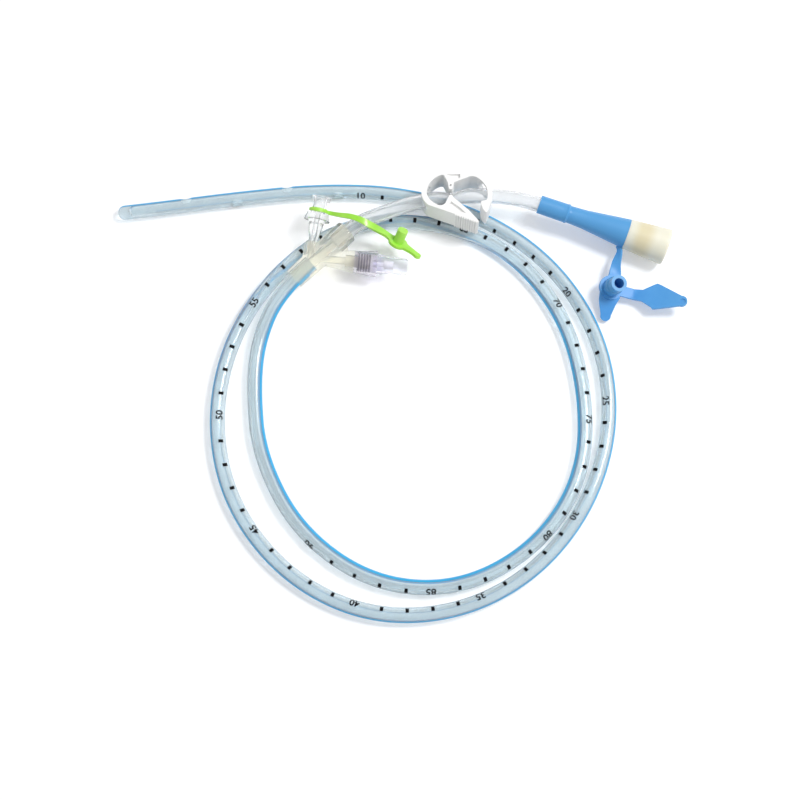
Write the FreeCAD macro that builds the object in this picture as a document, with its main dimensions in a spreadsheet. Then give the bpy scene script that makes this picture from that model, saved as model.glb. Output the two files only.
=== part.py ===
"""Nasogastric drainage tube with its three-way manifold, lying loosely coiled.

Lengths are millimetres.  +Z is up, the tube lies on Z = 0 and the origin is the
middle of the coil's footprint.  Everything hangs on the main tube's route: the
manifold sits on its last run, the drain tube starts in the manifold and the
funnel sits on the end of the drain tube.
"""
import FreeCAD, Part
import math
import os

import Sketcher

V = FreeCAD.Vector
UP = V(0, 0, 1)
ALONG = V(1, 0, 0)
ACROSS = V(0, 1, 0)

DOC = FreeCAD.newDocument("nasogastric_tube")
SHEET = DOC.addObject("Spreadsheet::Sheet", "Sizes")


class Size:
    """A length or an angle of the model: its number, and its formula in the sheet."""

    def __init__(self, value, formula):
        self.value = value
        self.formula = formula

    def _with(self, other, sign, value):
        return Size(value, f"({self.formula} {sign} {formula_of(other)})")

    def __add__(self, other):
        return self._with(other, "+", self.value + value_of(other))

    def __sub__(self, other):
        return self._with(other, "-", self.value - value_of(other))

    def __mul__(self, other):
        return self._with(other, "*", self.value * value_of(other))

    def __truediv__(self, other):
        return self._with(other, "/", self.value / value_of(other))


def value_of(thing):
    """Return the number of a Size or of a plain number."""
    return thing.value if isinstance(thing, Size) else float(thing)


def formula_of(thing):
    """Return the formula of a Size or of a plain number."""
    return thing.formula if isinstance(thing, Size) else repr(float(thing))


def size(alias, number, note):
    """Write one driving size into the sheet and return it."""
    row = size.next_row
    size.next_row += 1
    SHEET.set(f"A{row}", note)
    SHEET.set(f"B{row}", str(number))
    SHEET.setAlias(f"B{row}", alias)
    return Size(float(number), f"{SHEET.Name}.{alias}")


size.next_row = 1

# Main tube: wall, bore, side eyes and how far it plugs in
tube_od = size("tube_od", 6.0, "main tube outside diameter")
tube_bore = size("tube_bore", 3.7, "main tube drainage bore")
bore_offset = size("bore_offset", 0.42, "bore centre below the tube centre, away from the print")
eye_first = size("eye_first", 28.5, "first side eye from the end of the tip")
eye_pitch = size("eye_pitch", 21.0, "distance from one side eye to the next")
eye_count = 4
eye_long = size("eye_long", 4.6, "side eye along the tube")
eye_wide = size("eye_wide", 3.1, "side eye around the tube")
tube_insertion = size("tube_insertion", 9.5, "main tube inside its socket")
glue_gap = size("glue_gap", 0.05, "gap between a tube and its socket, each side")

# Drain tube
drain_od = size("drain_od", 6.2, "drain tube outside diameter")
drain_bore = size("drain_bore", 4.2, "drain tube bore")
drain_insertion = size("drain_insertion", 7.4, "drain tube inside the manifold")
funnel_insertion = size("funnel_insertion", 10.0, "drain tube inside the funnel")

# Manifold moulding
run_length = size("run_length", 29.5, "manifold from socket face to drain face")
socket_od = size("socket_od", 8.6, "manifold outside diameter at the tube socket")
run_end_od = size("run_end_od", 9.8, "manifold outside diameter at the drain end")
run_cone = size("run_cone", 23.0, "length over which the manifold widens")
run_round = size("run_round", 1.0, "rounded edge at the drain face")
gallery_bore = size("gallery_bore", 3.8, "passage between the two tubes")
vent_root = size("vent_root", 7.8, "vent branch from the socket face")
vent_angle = size("vent_angle", 37.0, "vent branch from the run axis, degrees")
vent_boss = size("vent_boss", 10.0, "vent boss from the run axis to its face")
vent_boss_od = size("vent_boss_od", 5.6, "vent boss outside diameter")
vent_gallery = size("vent_gallery", 1.5, "vent passage")
side_root = size("side_root", 12.7, "side branch from the socket face")
side_angle = size("side_angle", -48.0, "side branch from the run axis, degrees")
side_length = size("side_length", 15.2, "side branch from the run axis to its face")
side_root_od = size("side_root_od", 4.6, "side branch outside diameter at the run axis")
side_end_od = size("side_end_od", 9.6, "side branch outside diameter at its face")
side_gallery = size("side_gallery", 2.6, "side passage")
web_thick = size("web_thick", 2.4, "flat webs between the branches")
manifold_roll = size("manifold_roll", 10.0, "manifold turned about its run, degrees")

# Vent port
port_stem = size("port_stem", 3.3, "stem diameter inside the boss")
stem_insertion = size("stem_insertion", 5.0, "stem inside the boss")
port_cone = size("port_cone", 9.2, "tapered length outside the boss")
port_cone_od = size("port_cone_od", 6.8, "tapered part at its wide end")
collar_length = size("collar_length", 3.0, "flared collar")
collar_low_od = size("collar_low_od", 10.6, "flared collar, wide end")
collar_top_od = size("collar_top_od", 8.8, "flared collar, narrow end")
neck_od = size("neck_od", 5.6, "neck that carries the cap's ring")
neck_length = size("neck_length", 5.2, "neck between collar and flange")
port_flange = size("port_flange", 1.6, "flange at the mouth")
port_flange_od = size("port_flange_od", 6.6, "flange at the mouth, diameter")
lug_span = size("lug_span", 8.0, "across the two screw lugs")
lug_width = size("lug_width", 3.4, "width of a screw lug")
luer_bore = size("luer_bore", 4.1, "slip bore of the port")
luer_depth = size("luer_depth", 7.5, "depth of the slip bore")

# Vent cap: ring, strap, plug and pull tab in one moulding
ring_gap = size("ring_gap", 0.05, "cap ring to neck, each side")
ring_wall = size("ring_wall", 1.1, "cap ring, radial")
ring_thick = size("ring_thick", 1.6, "cap ring, along the neck")
strap_thick = size("strap_thick", 1.1, "cap strap and tab")
cap_base_od = size("cap_base_od", 8.0, "disc that carries the plug")
plug_od = size("plug_od", 4.3, "plug diameter")
plug_length = size("plug_length", 6.4, "plug above the disc")
cap_roll = size("cap_roll", -38.0, "cap disc turned about the strap, degrees")
cap_along = size("cap_along", 11.25, "cap disc from the port's stem end, along the port")
cap_aside = size("cap_aside", 34.0, "cap disc beside the port's axis")
cap_rise = size("cap_rise", 0.2, "cap disc above the port's axis")
cap_turn = size("cap_turn", -113.0, "cap tab turned from the port's heading, degrees")
cap_tab = size("cap_tab", 9.6, "cap disc to the rounded end of its pull tab")

# Connector on the side branch
hub_insertion = size("hub_insertion", 3.6, "hub spigot inside the side branch")
hub_spigot_od = size("hub_spigot_od", 4.4, "hub spigot")
hub_thread_od = size("hub_thread_od", 4.6, "threaded hub inside the lock collar")
hub_reach = size("hub_reach", 6.6, "hub beyond the branch face")
hub_bore = size("hub_bore", 2.0, "hub bore")
lock_length = size("lock_length", 9.2, "lock collar")
lock_near_od = size("lock_near_od", 9.1, "lock collar at the branch")
lock_far_od = size("lock_far_od", 10.9, "lock collar at the barrel")
lock_bore = size("lock_bore", 7.6, "bore of the lock collar")
lock_floor = size("lock_floor", 1.2, "end wall of the lock collar on the branch")
barrel_flange = size("barrel_flange", 2.6, "flange ring of the barrel")
barrel_flange_od = size("barrel_flange_od", 8.2, "flange ring, diameter")
barrel_tail = size("barrel_tail", 1.5, "barrel inside the lock collar")
barrel_length = size("barrel_length", 9.8, "barrel beyond the flange")
barrel_near_od = size("barrel_near_od", 7.4, "barrel at its flange")
barrel_far_od = size("barrel_far_od", 6.8, "barrel at its open end")
barrel_bore = size("barrel_bore", 5.6, "bore of the barrel")
barrel_web = size("barrel_web", 1.6, "solid end of the barrel round the nozzle")
nozzle_od = size("nozzle_od", 2.0, "nozzle on the barrel's axis")
nozzle_length = size("nozzle_length", 6.0, "nozzle from the lock collar's end")
valve_od = size("valve_od", 3.4, "valve sleeve on the nozzle")
valve_length = size("valve_length", 3.8, "valve sleeve")

# Drain funnel, its soft mouth and the tethered stopper
sleeve_od = size("sleeve_od", 7.5, "funnel sleeve at the drain tube")
sleeve_length = size("sleeve_length", 11.4, "funnel sleeve")
bead_od = size("bead_od", 8.1, "raised bead where the sleeve ends")
throat_od = size("throat_od", 7.1, "funnel just past the bead")
waist_od = size("waist_od", 7.8, "funnel where it starts to flare")
waist_at = size("waist_at", 19.5, "start of the flare from the sleeve face")
funnel_length = size("funnel_length", 37.6, "blue funnel from sleeve face to mouth piece")
funnel_od = size("funnel_od", 12.2, "funnel at the mouth piece")
funnel_bore = size("funnel_bore", 4.2, "funnel throat bore")
spigot_od = size("spigot_od", 10.4, "funnel spigot inside the mouth piece")
spigot_length = size("spigot_length", 5.0, "funnel spigot")
spigot_bore = size("spigot_bore", 8.2, "bore of the funnel spigot")
mouth_length = size("mouth_length", 17.2, "soft mouth piece")
mouth_near_od = size("mouth_near_od", 12.3, "mouth piece at the funnel")
mouth_far_od = size("mouth_far_od", 15.0, "mouth piece at its rim")
mouth_bore = size("mouth_bore", 11.0, "bore of the mouth piece")
mouth_round = size("mouth_round", 0.8, "rounded rim of the mouth piece")
stopper_disc_od = size("stopper_disc_od", 10.0, "stopper disc")
stopper_disc = size("stopper_disc", 1.3, "stopper disc thickness")
step_low_od = size("step_low_od", 7.4, "stopper, wide step")
step_high_od = size("step_high_od", 6.6, "stopper, narrow step")
step_height = size("step_height", 4.1, "height of each stopper step")
stopper_bore = size("stopper_bore", 4.1, "hollow in the stopper")
stopper_depth = size("stopper_depth", 7.0, "depth of the hollow")
stopper_along = size("stopper_along", 38.2, "stopper from the sleeve's face, along the funnel")
stopper_aside = size("stopper_aside", 23.5, "stopper beside the funnel's axis")
stopper_drop = size("stopper_drop", 3.0, "stopper below the funnel's axis")
stopper_turn = size("stopper_turn", 3.7, "stopper turned from the funnel's heading, degrees")
stopper_lean = size("stopper_lean", 16.0, "stopper leans to its long tab, degrees")
stopper_tip = size("stopper_tip", 5.0, "stopper tips to its short tab, degrees")
stopper_strap = size("stopper_strap", 1.1, "stopper strap and tabs")
leaf_neck = size("leaf_neck", 4.4, "long tab beside the stopper, width")
leaf_wide = size("leaf_wide", 11.2, "long tab across its shoulders")
leaf_end_od = size("leaf_end_od", 4.5, "rounded end of the long tab")
leaf_reach = size("leaf_reach", 19.6, "long tab from its bend to the centre of its end")
dimple_od = size("dimple_od", 2.3, "dimple in the end of the long tab")
low_tab_wide = size("low_tab_wide", 8.8, "short tab at the stopper, width")
low_tab_end_od = size("low_tab_end_od", 4.2, "rounded end of the short tab")

# Pinch clamp
clamp_depth = size("clamp_depth", 10.2, "clamp across the tube")
clamp_slot_long = size("clamp_slot_long", 9.6, "tube hole in the clamp's end walls, long way")
clamp_slot_wide = size("clamp_slot_wide", 7.2, "tube hole in the clamp's end walls, short way")
clamp_slot_rise = size("clamp_slot_rise", 0.4, "tube hole's centre beyond the tube's")
clamp_turn = size("clamp_turn", -6.0, "clamp turned on the tube, degrees")
clamp_lean = size("clamp_lean", -3.5, "clamp leans about the tube, degrees")
clamp_along = size("clamp_along", 2.7, "clamp origin along the tube from its seat")
clamp_across = size("clamp_across", 1.1, "clamp origin beside the tube's centre")
clamp_middle = size("clamp_middle", 14.8, "length between the two end walls that stays uncut")
clamp_middle_back = size("clamp_middle_back", 8.7, "start of that length behind the noses")
nose_pit = size("nose_pit", 0.9, "small round pit in the upper nose")
nose_tip = size("nose_tip", 1.7, "rounded tip of each nose")
recess_depth = size("recess_depth", 1.2, "shallow hollows in the tops of the two noses")
rib_pitch = size("rib_pitch", 1.0, "distance between grip ribs")
rib_size = size("rib_size", 0.55, "grip rib across and high")
rib_count = 10

# Corners of the clamp's profile that other features share
NOSE_UPPER = (-2.62, 0.5)
NOSE_LOWER = (-2.65, -3.65)
LEVER_HEEL = (-11.6, -7.45)
LEVER_END = (8.3, -15.2)

DOC.recompute()

# Route of the main tube from the centre of its rounded tip, two loose turns, to
# its end inside the manifold.  The points are corners that the tube rounds off.
TUBE_ROUTE = [
    (-113.0, 78.4, 3.0), (-97.0, 80.4, 3.0), (-65.0, 84.9, 3.0), (-31.0, 88.4, 3.0),
    (3.0, 86.9, 3.0), (36.0, 75.9, 3.0), (63.5, 54.9, 3.0), (81.0, 24.4, 3.0), (85.0, -9.6, 3.0),
    (75.5, -43.1, 3.0), (54.0, -71.1, 3.0), (23.5, -87.6, 3.0), (-11.5, -89.1, 3.0),
    (-42.5, -74.1, 3.0), (-65.0, -46.6, 3.0), (-73.5, -13.1, 3.0), (-68.5, 21.4, 3.0),
    (-51.0, 51.4, 3.0), (-24.0, 72.9, 3.0), (11.5, 75.4, 3.0), (44.0, 63.4, 3.0),
    (66.0, 35.9, 3.0), (74.5, 2.9, 3.0), (73.0, -32.1, 3.0), (55.0, -61.1, 3.0),
    (24.0, -78.6, 3.0), (-10.0, -76.6, 3.0), (-39.0, -56.1, 3.0), (-55.0, -25.6, 3.0),
    (-58.0, 2.4, 3.0), (-56.5, 22.9, 3.2), (-48.4, 41.9, 6.5), (-35.5, 53.6, 8.6),
]

# Route of the drain tube after it has left the manifold: over both turns of the
# main tube, through the clamp and into the funnel.
DRAIN_ROUTE = [
    (-7.0, 74.1, 11.8), (7.0, 79.2, 12.0), (21.0, 81.3, 12.0), (36.0, 82.3, 12.0),
    (52.0, 80.4, 11.5), (66.8, 75.4, 10.45),
]


def bind(thing, **sizes):
    """Tie properties of an object to sizes of the sheet."""
    for name, length in sizes.items():
        thing.setExpression(name, formula_of(length))


def add(kind, name, **sizes):
    """Add one object to the document and tie its sizes."""
    thing = DOC.addObject(kind, name)
    bind(thing, **sizes)
    return thing


def feature(name, shape):
    """Add an object that holds a shape made in code."""
    thing = DOC.addObject("Part::Feature", name)
    thing.Shape = shape
    return thing


def fuse(name, pieces):
    """Join several objects into one."""
    thing = DOC.addObject("Part::MultiFuse", name)
    thing.Shapes = pieces
    thing.Refine = True
    return thing


def cut(name, base, tool):
    """Take one object out of another."""
    thing = DOC.addObject("Part::Cut", name)
    thing.Base = base
    thing.Tool = tool
    return thing


def frame_at(origin, direction, roll=0.0):
    """Return a placement whose X axis runs along a direction, with Y level before the roll."""
    level = UP.cross(direction)
    rotation = FreeCAD.Rotation(direction, level, UP, "XYZ")
    return FreeCAD.Placement(origin, rotation.multiply(FreeCAD.Rotation(ALONG, roll)))


def within(frame, along=0.0, turn=0.0, reach=0.0):
    """Return a frame turned in the plane of another one, at a distance along each axis."""
    at_root = FreeCAD.Placement(V(along, 0, 0), FreeCAD.Rotation(UP, turn))
    return frame.multiply(at_root).multiply(FreeCAD.Placement(V(reach, 0, 0), FreeCAD.Rotation()))


def level_heading(frame, turn):
    """Return the level direction that a frame's X axis points to, turned by an angle."""
    heading = frame.Rotation.multVec(ALONG)
    return FreeCAD.Rotation(UP, turn).multVec(V(heading.x, heading.y, 0).normalize())


def rounded_path(points):
    """Return a wire of straight runs and tangent arcs through a route, and the arc radii."""
    corners = [V(*point) for point in points]
    start = corners[0]
    edges = []
    radii = []
    for before, corner, after in zip(corners, corners[1:], corners[2:]):
        back = before - corner
        ahead = after - corner
        reach = 0.45 * min(back.Length, ahead.Length)
        back.normalize()
        ahead.normalize()
        half_turn = (math.pi - back.getAngle(ahead)) / 2
        radius = reach / math.tan(half_turn)
        inward = (back + ahead).normalize()
        middle = corner + inward * (radius / math.cos(half_turn) - radius)
        edges.append(Part.LineSegment(start, corner + back * reach).toShape())
        edges.append(Part.Arc(corner + back * reach, middle, corner + ahead * reach).toShape())
        start = corner + ahead * reach
        radii.append(radius)
    edges.append(Part.LineSegment(start, corners[-1]).toShape())
    return Part.Wire(edges), radii


def point_along(path, distance):
    """Return the point and the direction of a path at a distance from its start."""
    for edge in path.Edges:
        if distance <= edge.Length:
            parameter = edge.getParameterByLength(distance)
            return edge.valueAt(parameter), edge.tangentAt(parameter)
        distance -= edge.Length
    raise ValueError("the distance is beyond the path")


def swept_round(name, path, diameter, shift=V(0, 0, 0)):
    """Sweep a circle along a path, centred a shift away from it."""
    first = path.Edges[0]
    start = first.valueAt(first.FirstParameter)
    direction = first.tangentAt(first.FirstParameter)
    spine = feature(f"{name}_path", path)
    section = add("Part::Circle", f"{name}_section", Radius=diameter / 2)
    section.Placement = FreeCAD.Placement(start + shift, FreeCAD.Rotation(UP, direction))
    sweep = DOC.addObject("Part::Sweep", name)
    sweep.Sections = [section]
    sweep.Spine = (spine, [f"Edge{index + 1}" for index in range(len(path.Edges))])
    sweep.Solid = True
    return sweep


def print_plain_volume(name, sweep, path, diameter):
    """Print a plain sweep's volume beside its section times its length."""
    DOC.recompute()
    expected = math.pi / 4 * diameter.value ** 2 * path.Length
    print(name, "plain volume", round(sweep.Shape.Volume, 1), "section by length", round(expected, 1))


def revolved(name, outline):
    """Turn a closed outline of (along, radius) corners about the body's X axis."""
    body = DOC.addObject("PartDesign::Body", name)
    plane = next(item for item in body.Origin.OriginFeatures if item.Role == "XY_Plane")
    sketch = body.newObject("Sketcher::SketchObject", f"{name}_outline")
    sketch.AttachmentSupport = (plane, "")
    sketch.MapMode = "FlatFace"
    draw_outline(sketch, outline)
    turn = body.newObject("PartDesign::Revolution", f"{name}_turned")
    turn.Profile = sketch
    turn.ReferenceAxis = (sketch, ["H_Axis"])
    turn.Angle = 360.0
    body.Tip = turn
    return body


def draw_outline(sketch, outline):
    """Draw a closed outline in a sketch and tie each corner to its two sizes."""
    count = len(outline)
    corners = [V(value_of(x), value_of(y), 0) for x, y in outline]
    for index in range(count):
        sketch.addGeometry(Part.LineSegment(corners[index], corners[(index + 1) % count]), False)
    for index in range(count):
        sketch.addConstraint(Sketcher.Constraint("Coincident", index, 2, (index + 1) % count, 1))
    for index, (x, y) in enumerate(outline):
        for kind, length, axis in (("DistanceX", x, -2), ("DistanceY", y, -1)):
            if isinstance(length, Size):
                constraint = Sketcher.Constraint(kind, -1, 1, index, 1, length.value)
                number = sketch.addConstraint(constraint)
                sketch.setExpression(f"Constraints[{number}]", length.formula)
            elif length == 0:
                sketch.addConstraint(Sketcher.Constraint("PointOnObject", index, 1, axis))
            else:
                sketch.addConstraint(Sketcher.Constraint(kind, -1, 1, index, 1, float(length)))


def round_edges(body, name, radius, along, diameter):
    """Round the circular edges of a turned body at a place along its axis."""
    DOC.recompute()
    turned = body.Tip
    names = []
    for index, edge in enumerate(turned.Shape.Edges):
        curve = edge.Curve
        if not hasattr(curve, "Radius") or not hasattr(curve, "Center"):
            continue
        at_place = abs(curve.Center.x - value_of(along)) < 1e-4
        if at_place and abs(curve.Radius - value_of(diameter) / 2) < 1e-4:
            names.append(f"Edge{index + 1}")
    fillet = body.newObject("PartDesign::Fillet", name)
    fillet.Base = (turned, names)
    bind(fillet, Radius=radius)
    body.Tip = fillet
    return fillet


def ribbon(name, stations, thickness):
    """Loft a flat strap through stations of (point, width, side direction)."""
    sections = []
    points = [station[0] for station in stations]
    for index, (point, width, side) in enumerate(stations):
        ahead = points[min(index + 1, len(points) - 1)]
        behind = points[max(index - 1, 0)]
        travel = (ahead - behind).normalize()
        face = travel.cross(side).normalize() * (value_of(thickness) / 2)
        half = face.cross(travel).normalize() * (width / 2)
        corners = [point + half + face, point - half + face, point - half - face, point + half - face]
        wire = Part.makePolygon(corners + corners[:1])
        sections.append(feature(f"{name}_station_{index + 1}", wire))
    strap = DOC.addObject("Part::Loft", name)
    strap.Sections = sections
    strap.Solid = True
    strap.Ruled = False
    return strap


def make_main_tube():
    """Make the main tube: swept outside, rounded closed tip, side eyes and the bore's open end.

    The eyes are pockets as deep as the wall, and the tube stays plain between
    them and the manifold.
    """
    path, radii = rounded_path(TUBE_ROUTE)
    tip = V(*TUBE_ROUTE[0])
    lower = V(0, 0, -bore_offset.value)
    wall = swept_round("tube_wall", path, tube_od)
    end = add("Part::Sphere", "tube_tip", Radius=tube_od / 2)
    end.Placement = FreeCAD.Placement(tip, FreeCAD.Rotation(UP, path.Edges[0].tangentAt(0)))
    end_bore = swept_round("end_bore", Part.Wire(path.Edges[-2:]), tube_bore, lower)
    eyes = []
    for index in range(eye_count):
        distance = eye_first.value + index * eye_pitch.value - tube_od.value / 2
        centre, travel = point_along(path, distance)
        outward = UP.cross(travel) if index % 2 == 0 else travel.cross(UP)
        oval = add("Part::Ellipse", f"eye_{index + 1}_oval", MajorRadius=eye_long / 2,
                   MinorRadius=eye_wide / 2)
        rotation = FreeCAD.Rotation(travel, outward.cross(travel), outward, "XYZ")
        oval.Placement = FreeCAD.Placement(centre + outward * (tube_bore.value / 2), rotation)
        eye = add("Part::Extrusion", f"eye_{index + 1}", LengthFwd=tube_od)
        eye.Base = oval
        eye.DirMode = "Custom"
        eye.Dir = outward
        eye.Solid = True
        eyes.append(eye)
    outside = fuse("main_tube_outside", [wall, end])
    tube = cut("main_tube_cut", outside, fuse("main_tube_holes", [end_bore] + eyes))
    print("main tube length", round(path.Length + tube_od.value / 2, 1))
    print("main tube arc radii", [round(radius, 1) for radius in radii])
    print_plain_volume("main tube", wall, path, tube_od)
    return tube


def make_manifold(frame):
    """Make the manifold: three cones with webs, two tube sockets and their passages."""
    run = revolved("manifold_run", [
        (0, 0), (0, socket_od / 2), (run_cone, run_end_od / 2), (run_length, run_end_od / 2),
        (run_length, 0)])
    round_edges(run, "manifold_run_round", run_round, run_length, run_end_od)
    vent = add("Part::Cone", "vent_boss", Radius1=vent_boss_od / 2 + 0.5, Radius2=vent_boss_od / 2,
               Height=vent_boss)
    side = add("Part::Cone", "side_branch", Radius1=side_root_od / 2, Radius2=side_end_od / 2,
               Height=side_length)
    vent_frame = within(FreeCAD.Placement(), vent_root.value, vent_angle.value)
    side_frame = within(FreeCAD.Placement(), side_root.value, side_angle.value)
    to_axis = FreeCAD.Placement(V(0, 0, 0), FreeCAD.Rotation(UP, ALONG))
    vent.Placement = vent_frame.multiply(to_axis)
    side.Placement = side_frame.multiply(to_axis)
    webs = [make_web("vent_web", vent_root, 0.72, vent_frame, vent_boss),
            make_web("side_web", side_root, 0.93, side_frame, side_length)]
    solid = fuse("manifold_solid", [run, vent, side] + webs)
    tube_socket = add("Part::Cylinder", "tube_socket", Radius=tube_od / 2 + glue_gap,
                      Height=tube_insertion)
    tube_socket.Placement = to_axis
    gallery = add("Part::Cylinder", "gallery", Radius=gallery_bore / 2, Height=run_length)
    gallery.Placement = to_axis
    drain_socket = add("Part::Cylinder", "drain_socket", Radius=drain_od / 2 + glue_gap,
                       Height=drain_insertion)
    drain_socket.Placement = within(FreeCAD.Placement(), run_length.value, 180).multiply(to_axis)
    vent_hole = add("Part::Cylinder", "vent_hole", Radius=vent_gallery / 2, Height=vent_boss)
    vent_hole.Placement = vent_frame.multiply(to_axis)
    stem_socket = add("Part::Cylinder", "stem_socket", Radius=port_stem / 2 + glue_gap,
                      Height=stem_insertion)
    stem_socket.Placement = within(vent_frame, vent_boss.value, 180).multiply(to_axis)
    side_hole = add("Part::Cylinder", "side_hole", Radius=side_gallery / 2, Height=side_length)
    side_hole.Placement = side_frame.multiply(to_axis)
    hub_socket = add("Part::Cylinder", "hub_socket", Radius=hub_spigot_od / 2 + glue_gap,
                     Height=hub_insertion)
    hub_socket.Placement = within(side_frame, side_length.value, 180).multiply(to_axis)
    holes = fuse("manifold_holes", [tube_socket, gallery, drain_socket, vent_hole, stem_socket,
                                    side_hole, hub_socket])
    manifold = cut("manifold_cut", solid, holes)
    manifold.Placement = frame
    return manifold


def make_web(name, root, share, branch_frame, branch_length):
    """Make one flat web that fills the fork between the run and a branch."""
    on_run = V(run_length.value * share, 0, 0)
    on_branch = branch_frame.multVec(V(branch_length.value * share, 0, 0))
    corners = [V(root.value, 0, 0), on_run, on_branch]
    drop = V(0, 0, -web_thick.value / 2)
    outline = feature(f"{name}_outline", Part.makePolygon([corner + drop for corner in corners + corners[:1]]))
    web = add("Part::Extrusion", name, LengthFwd=web_thick)
    web.Base = outline
    web.DirMode = "Custom"
    web.Dir = UP
    web.Solid = True
    return web


def make_vent_port(frame):
    """Make the clear vent port: stem, taper, flared collar, neck, flange and screw lugs."""
    cone_end = stem_insertion + port_cone
    neck_start = cone_end + collar_length
    flange_start = neck_start + neck_length
    port_end = flange_start + port_flange
    body = revolved("vent_port_body", [
        (0, vent_gallery / 2), (0, port_stem / 2), (stem_insertion, port_stem / 2),
        (cone_end, port_cone_od / 2), (cone_end, collar_low_od / 2), (neck_start, collar_top_od / 2),
        (neck_start, neck_od / 2), (flange_start, neck_od / 2), (flange_start, port_flange_od / 2),
        (port_end, port_flange_od / 2), (port_end, luer_bore / 2), (port_end - luer_depth, luer_bore / 2),
        (port_end - luer_depth, vent_gallery / 2)])
    lugs = add("Part::Box", "screw_lugs", Length=port_flange, Width=lug_span, Height=lug_width)
    lugs.Placement = FreeCAD.Placement(
        V(flange_start.value, -lug_span.value / 2, -lug_width.value / 2), FreeCAD.Rotation())
    lug_round = add("Part::Cylinder", "lug_round", Radius=lug_span / 2, Height=port_flange)
    lug_round.Placement = FreeCAD.Placement(V(flange_start.value, 0, 0), FreeCAD.Rotation(UP, ALONG))
    lug_shape = DOC.addObject("Part::Common", "lug_shape")
    lug_shape.Base = lugs
    lug_shape.Tool = lug_round
    mouth = add("Part::Cylinder", "port_mouth", Radius=luer_bore / 2, Height=luer_depth)
    mouth.Placement = FreeCAD.Placement(
        V(port_end.value - luer_depth.value, 0, 0), FreeCAD.Rotation(UP, ALONG))
    port = cut("vent_port_cut", fuse("vent_port_outside", [body, lug_shape]), mouth)
    port.Placement = frame
    return port, neck_start


def make_vent_cap(port_frame, neck_start):
    """Make the lime cap: ring on the port's neck, twisting strap, disc, plug and pull tab."""
    ring_in = neck_od / 2 + ring_gap
    ring = revolved("cap_ring", [
        (neck_start, ring_in), (neck_start, ring_in + ring_wall),
        (neck_start + ring_thick, ring_in + ring_wall), (neck_start + ring_thick, ring_in)])
    ring.Placement = port_frame
    disc_centre = port_frame.multVec(V(cap_along.value, -cap_aside.value, cap_rise.value))
    disc_frame = frame_at(disc_centre, level_heading(port_frame, cap_turn.value), cap_roll.value)
    disc = add("Part::Cylinder", "cap_disc", Radius=cap_base_od / 2, Height=strap_thick)
    disc.Placement = disc_frame.multiply(FreeCAD.Placement(V(0, 0, -strap_thick.value / 2), FreeCAD.Rotation()))
    plug = add("Part::Cylinder", "cap_plug", Radius=plug_od / 2, Height=plug_length)
    plug.Placement = disc_frame
    side = disc_frame.Rotation.multVec(ACROSS)
    ring_level = neck_start.value + ring_thick.value / 2
    ring_edge = ring_in.value + ring_wall.value / 2
    start = port_frame.multVec(V(ring_level, -ring_edge, 0))
    axis = port_frame.Rotation.multVec(ALONG)
    reach = cap_aside.value
    stations = [
        (start, ring_thick.value, axis),
        (port_frame.multVec(V(ring_level, -reach * 0.18, 0.4)), 1.6, axis),
        (port_frame.multVec(V(ring_level - 0.3, -reach * 0.27, 2.2)), 1.8, axis),
        (port_frame.multVec(V(ring_level - 0.5, -reach * 0.405, 4.0)), 2.1, axis),
        (port_frame.multVec(V(ring_level - 1.4, -reach * 0.535, 4.8)), 2.4, axis),
        (port_frame.multVec(V(ring_level - 2.6, -reach * 0.66, 3.4)), 2.8, (axis * 1.5 + side).normalize()),
        (disc_frame.multVec(V(-6.2, 0, 0.5)), 3.1, side),
        (disc_frame.multVec(V(-2.4, 0, 0.1)), 4.4, side),
    ]
    strap = ribbon("cap_strap", stations, strap_thick)
    tab_end = disc_frame.multVec(V(cap_tab.value, 0, -0.5))
    tab = ribbon("cap_tab", [
        (disc_frame.multVec(V(2.6, 0, 0)), 4.6, side), (disc_frame.multVec(V(5.2, 0, 0)), 3.3, side),
        (tab_end, 2.7, side)], strap_thick)
    tab_round = add("Part::Cylinder", "cap_tab_end", Radius=1.5, Height=strap_thick)
    tab_round.Placement = FreeCAD.Placement(tab_end, disc_frame.Rotation).multiply(
        FreeCAD.Placement(V(0, 0, -strap_thick.value / 2), FreeCAD.Rotation()))
    return fuse("vent_cap_joined", [ring, strap, disc, plug, tab, tab_round])


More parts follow.
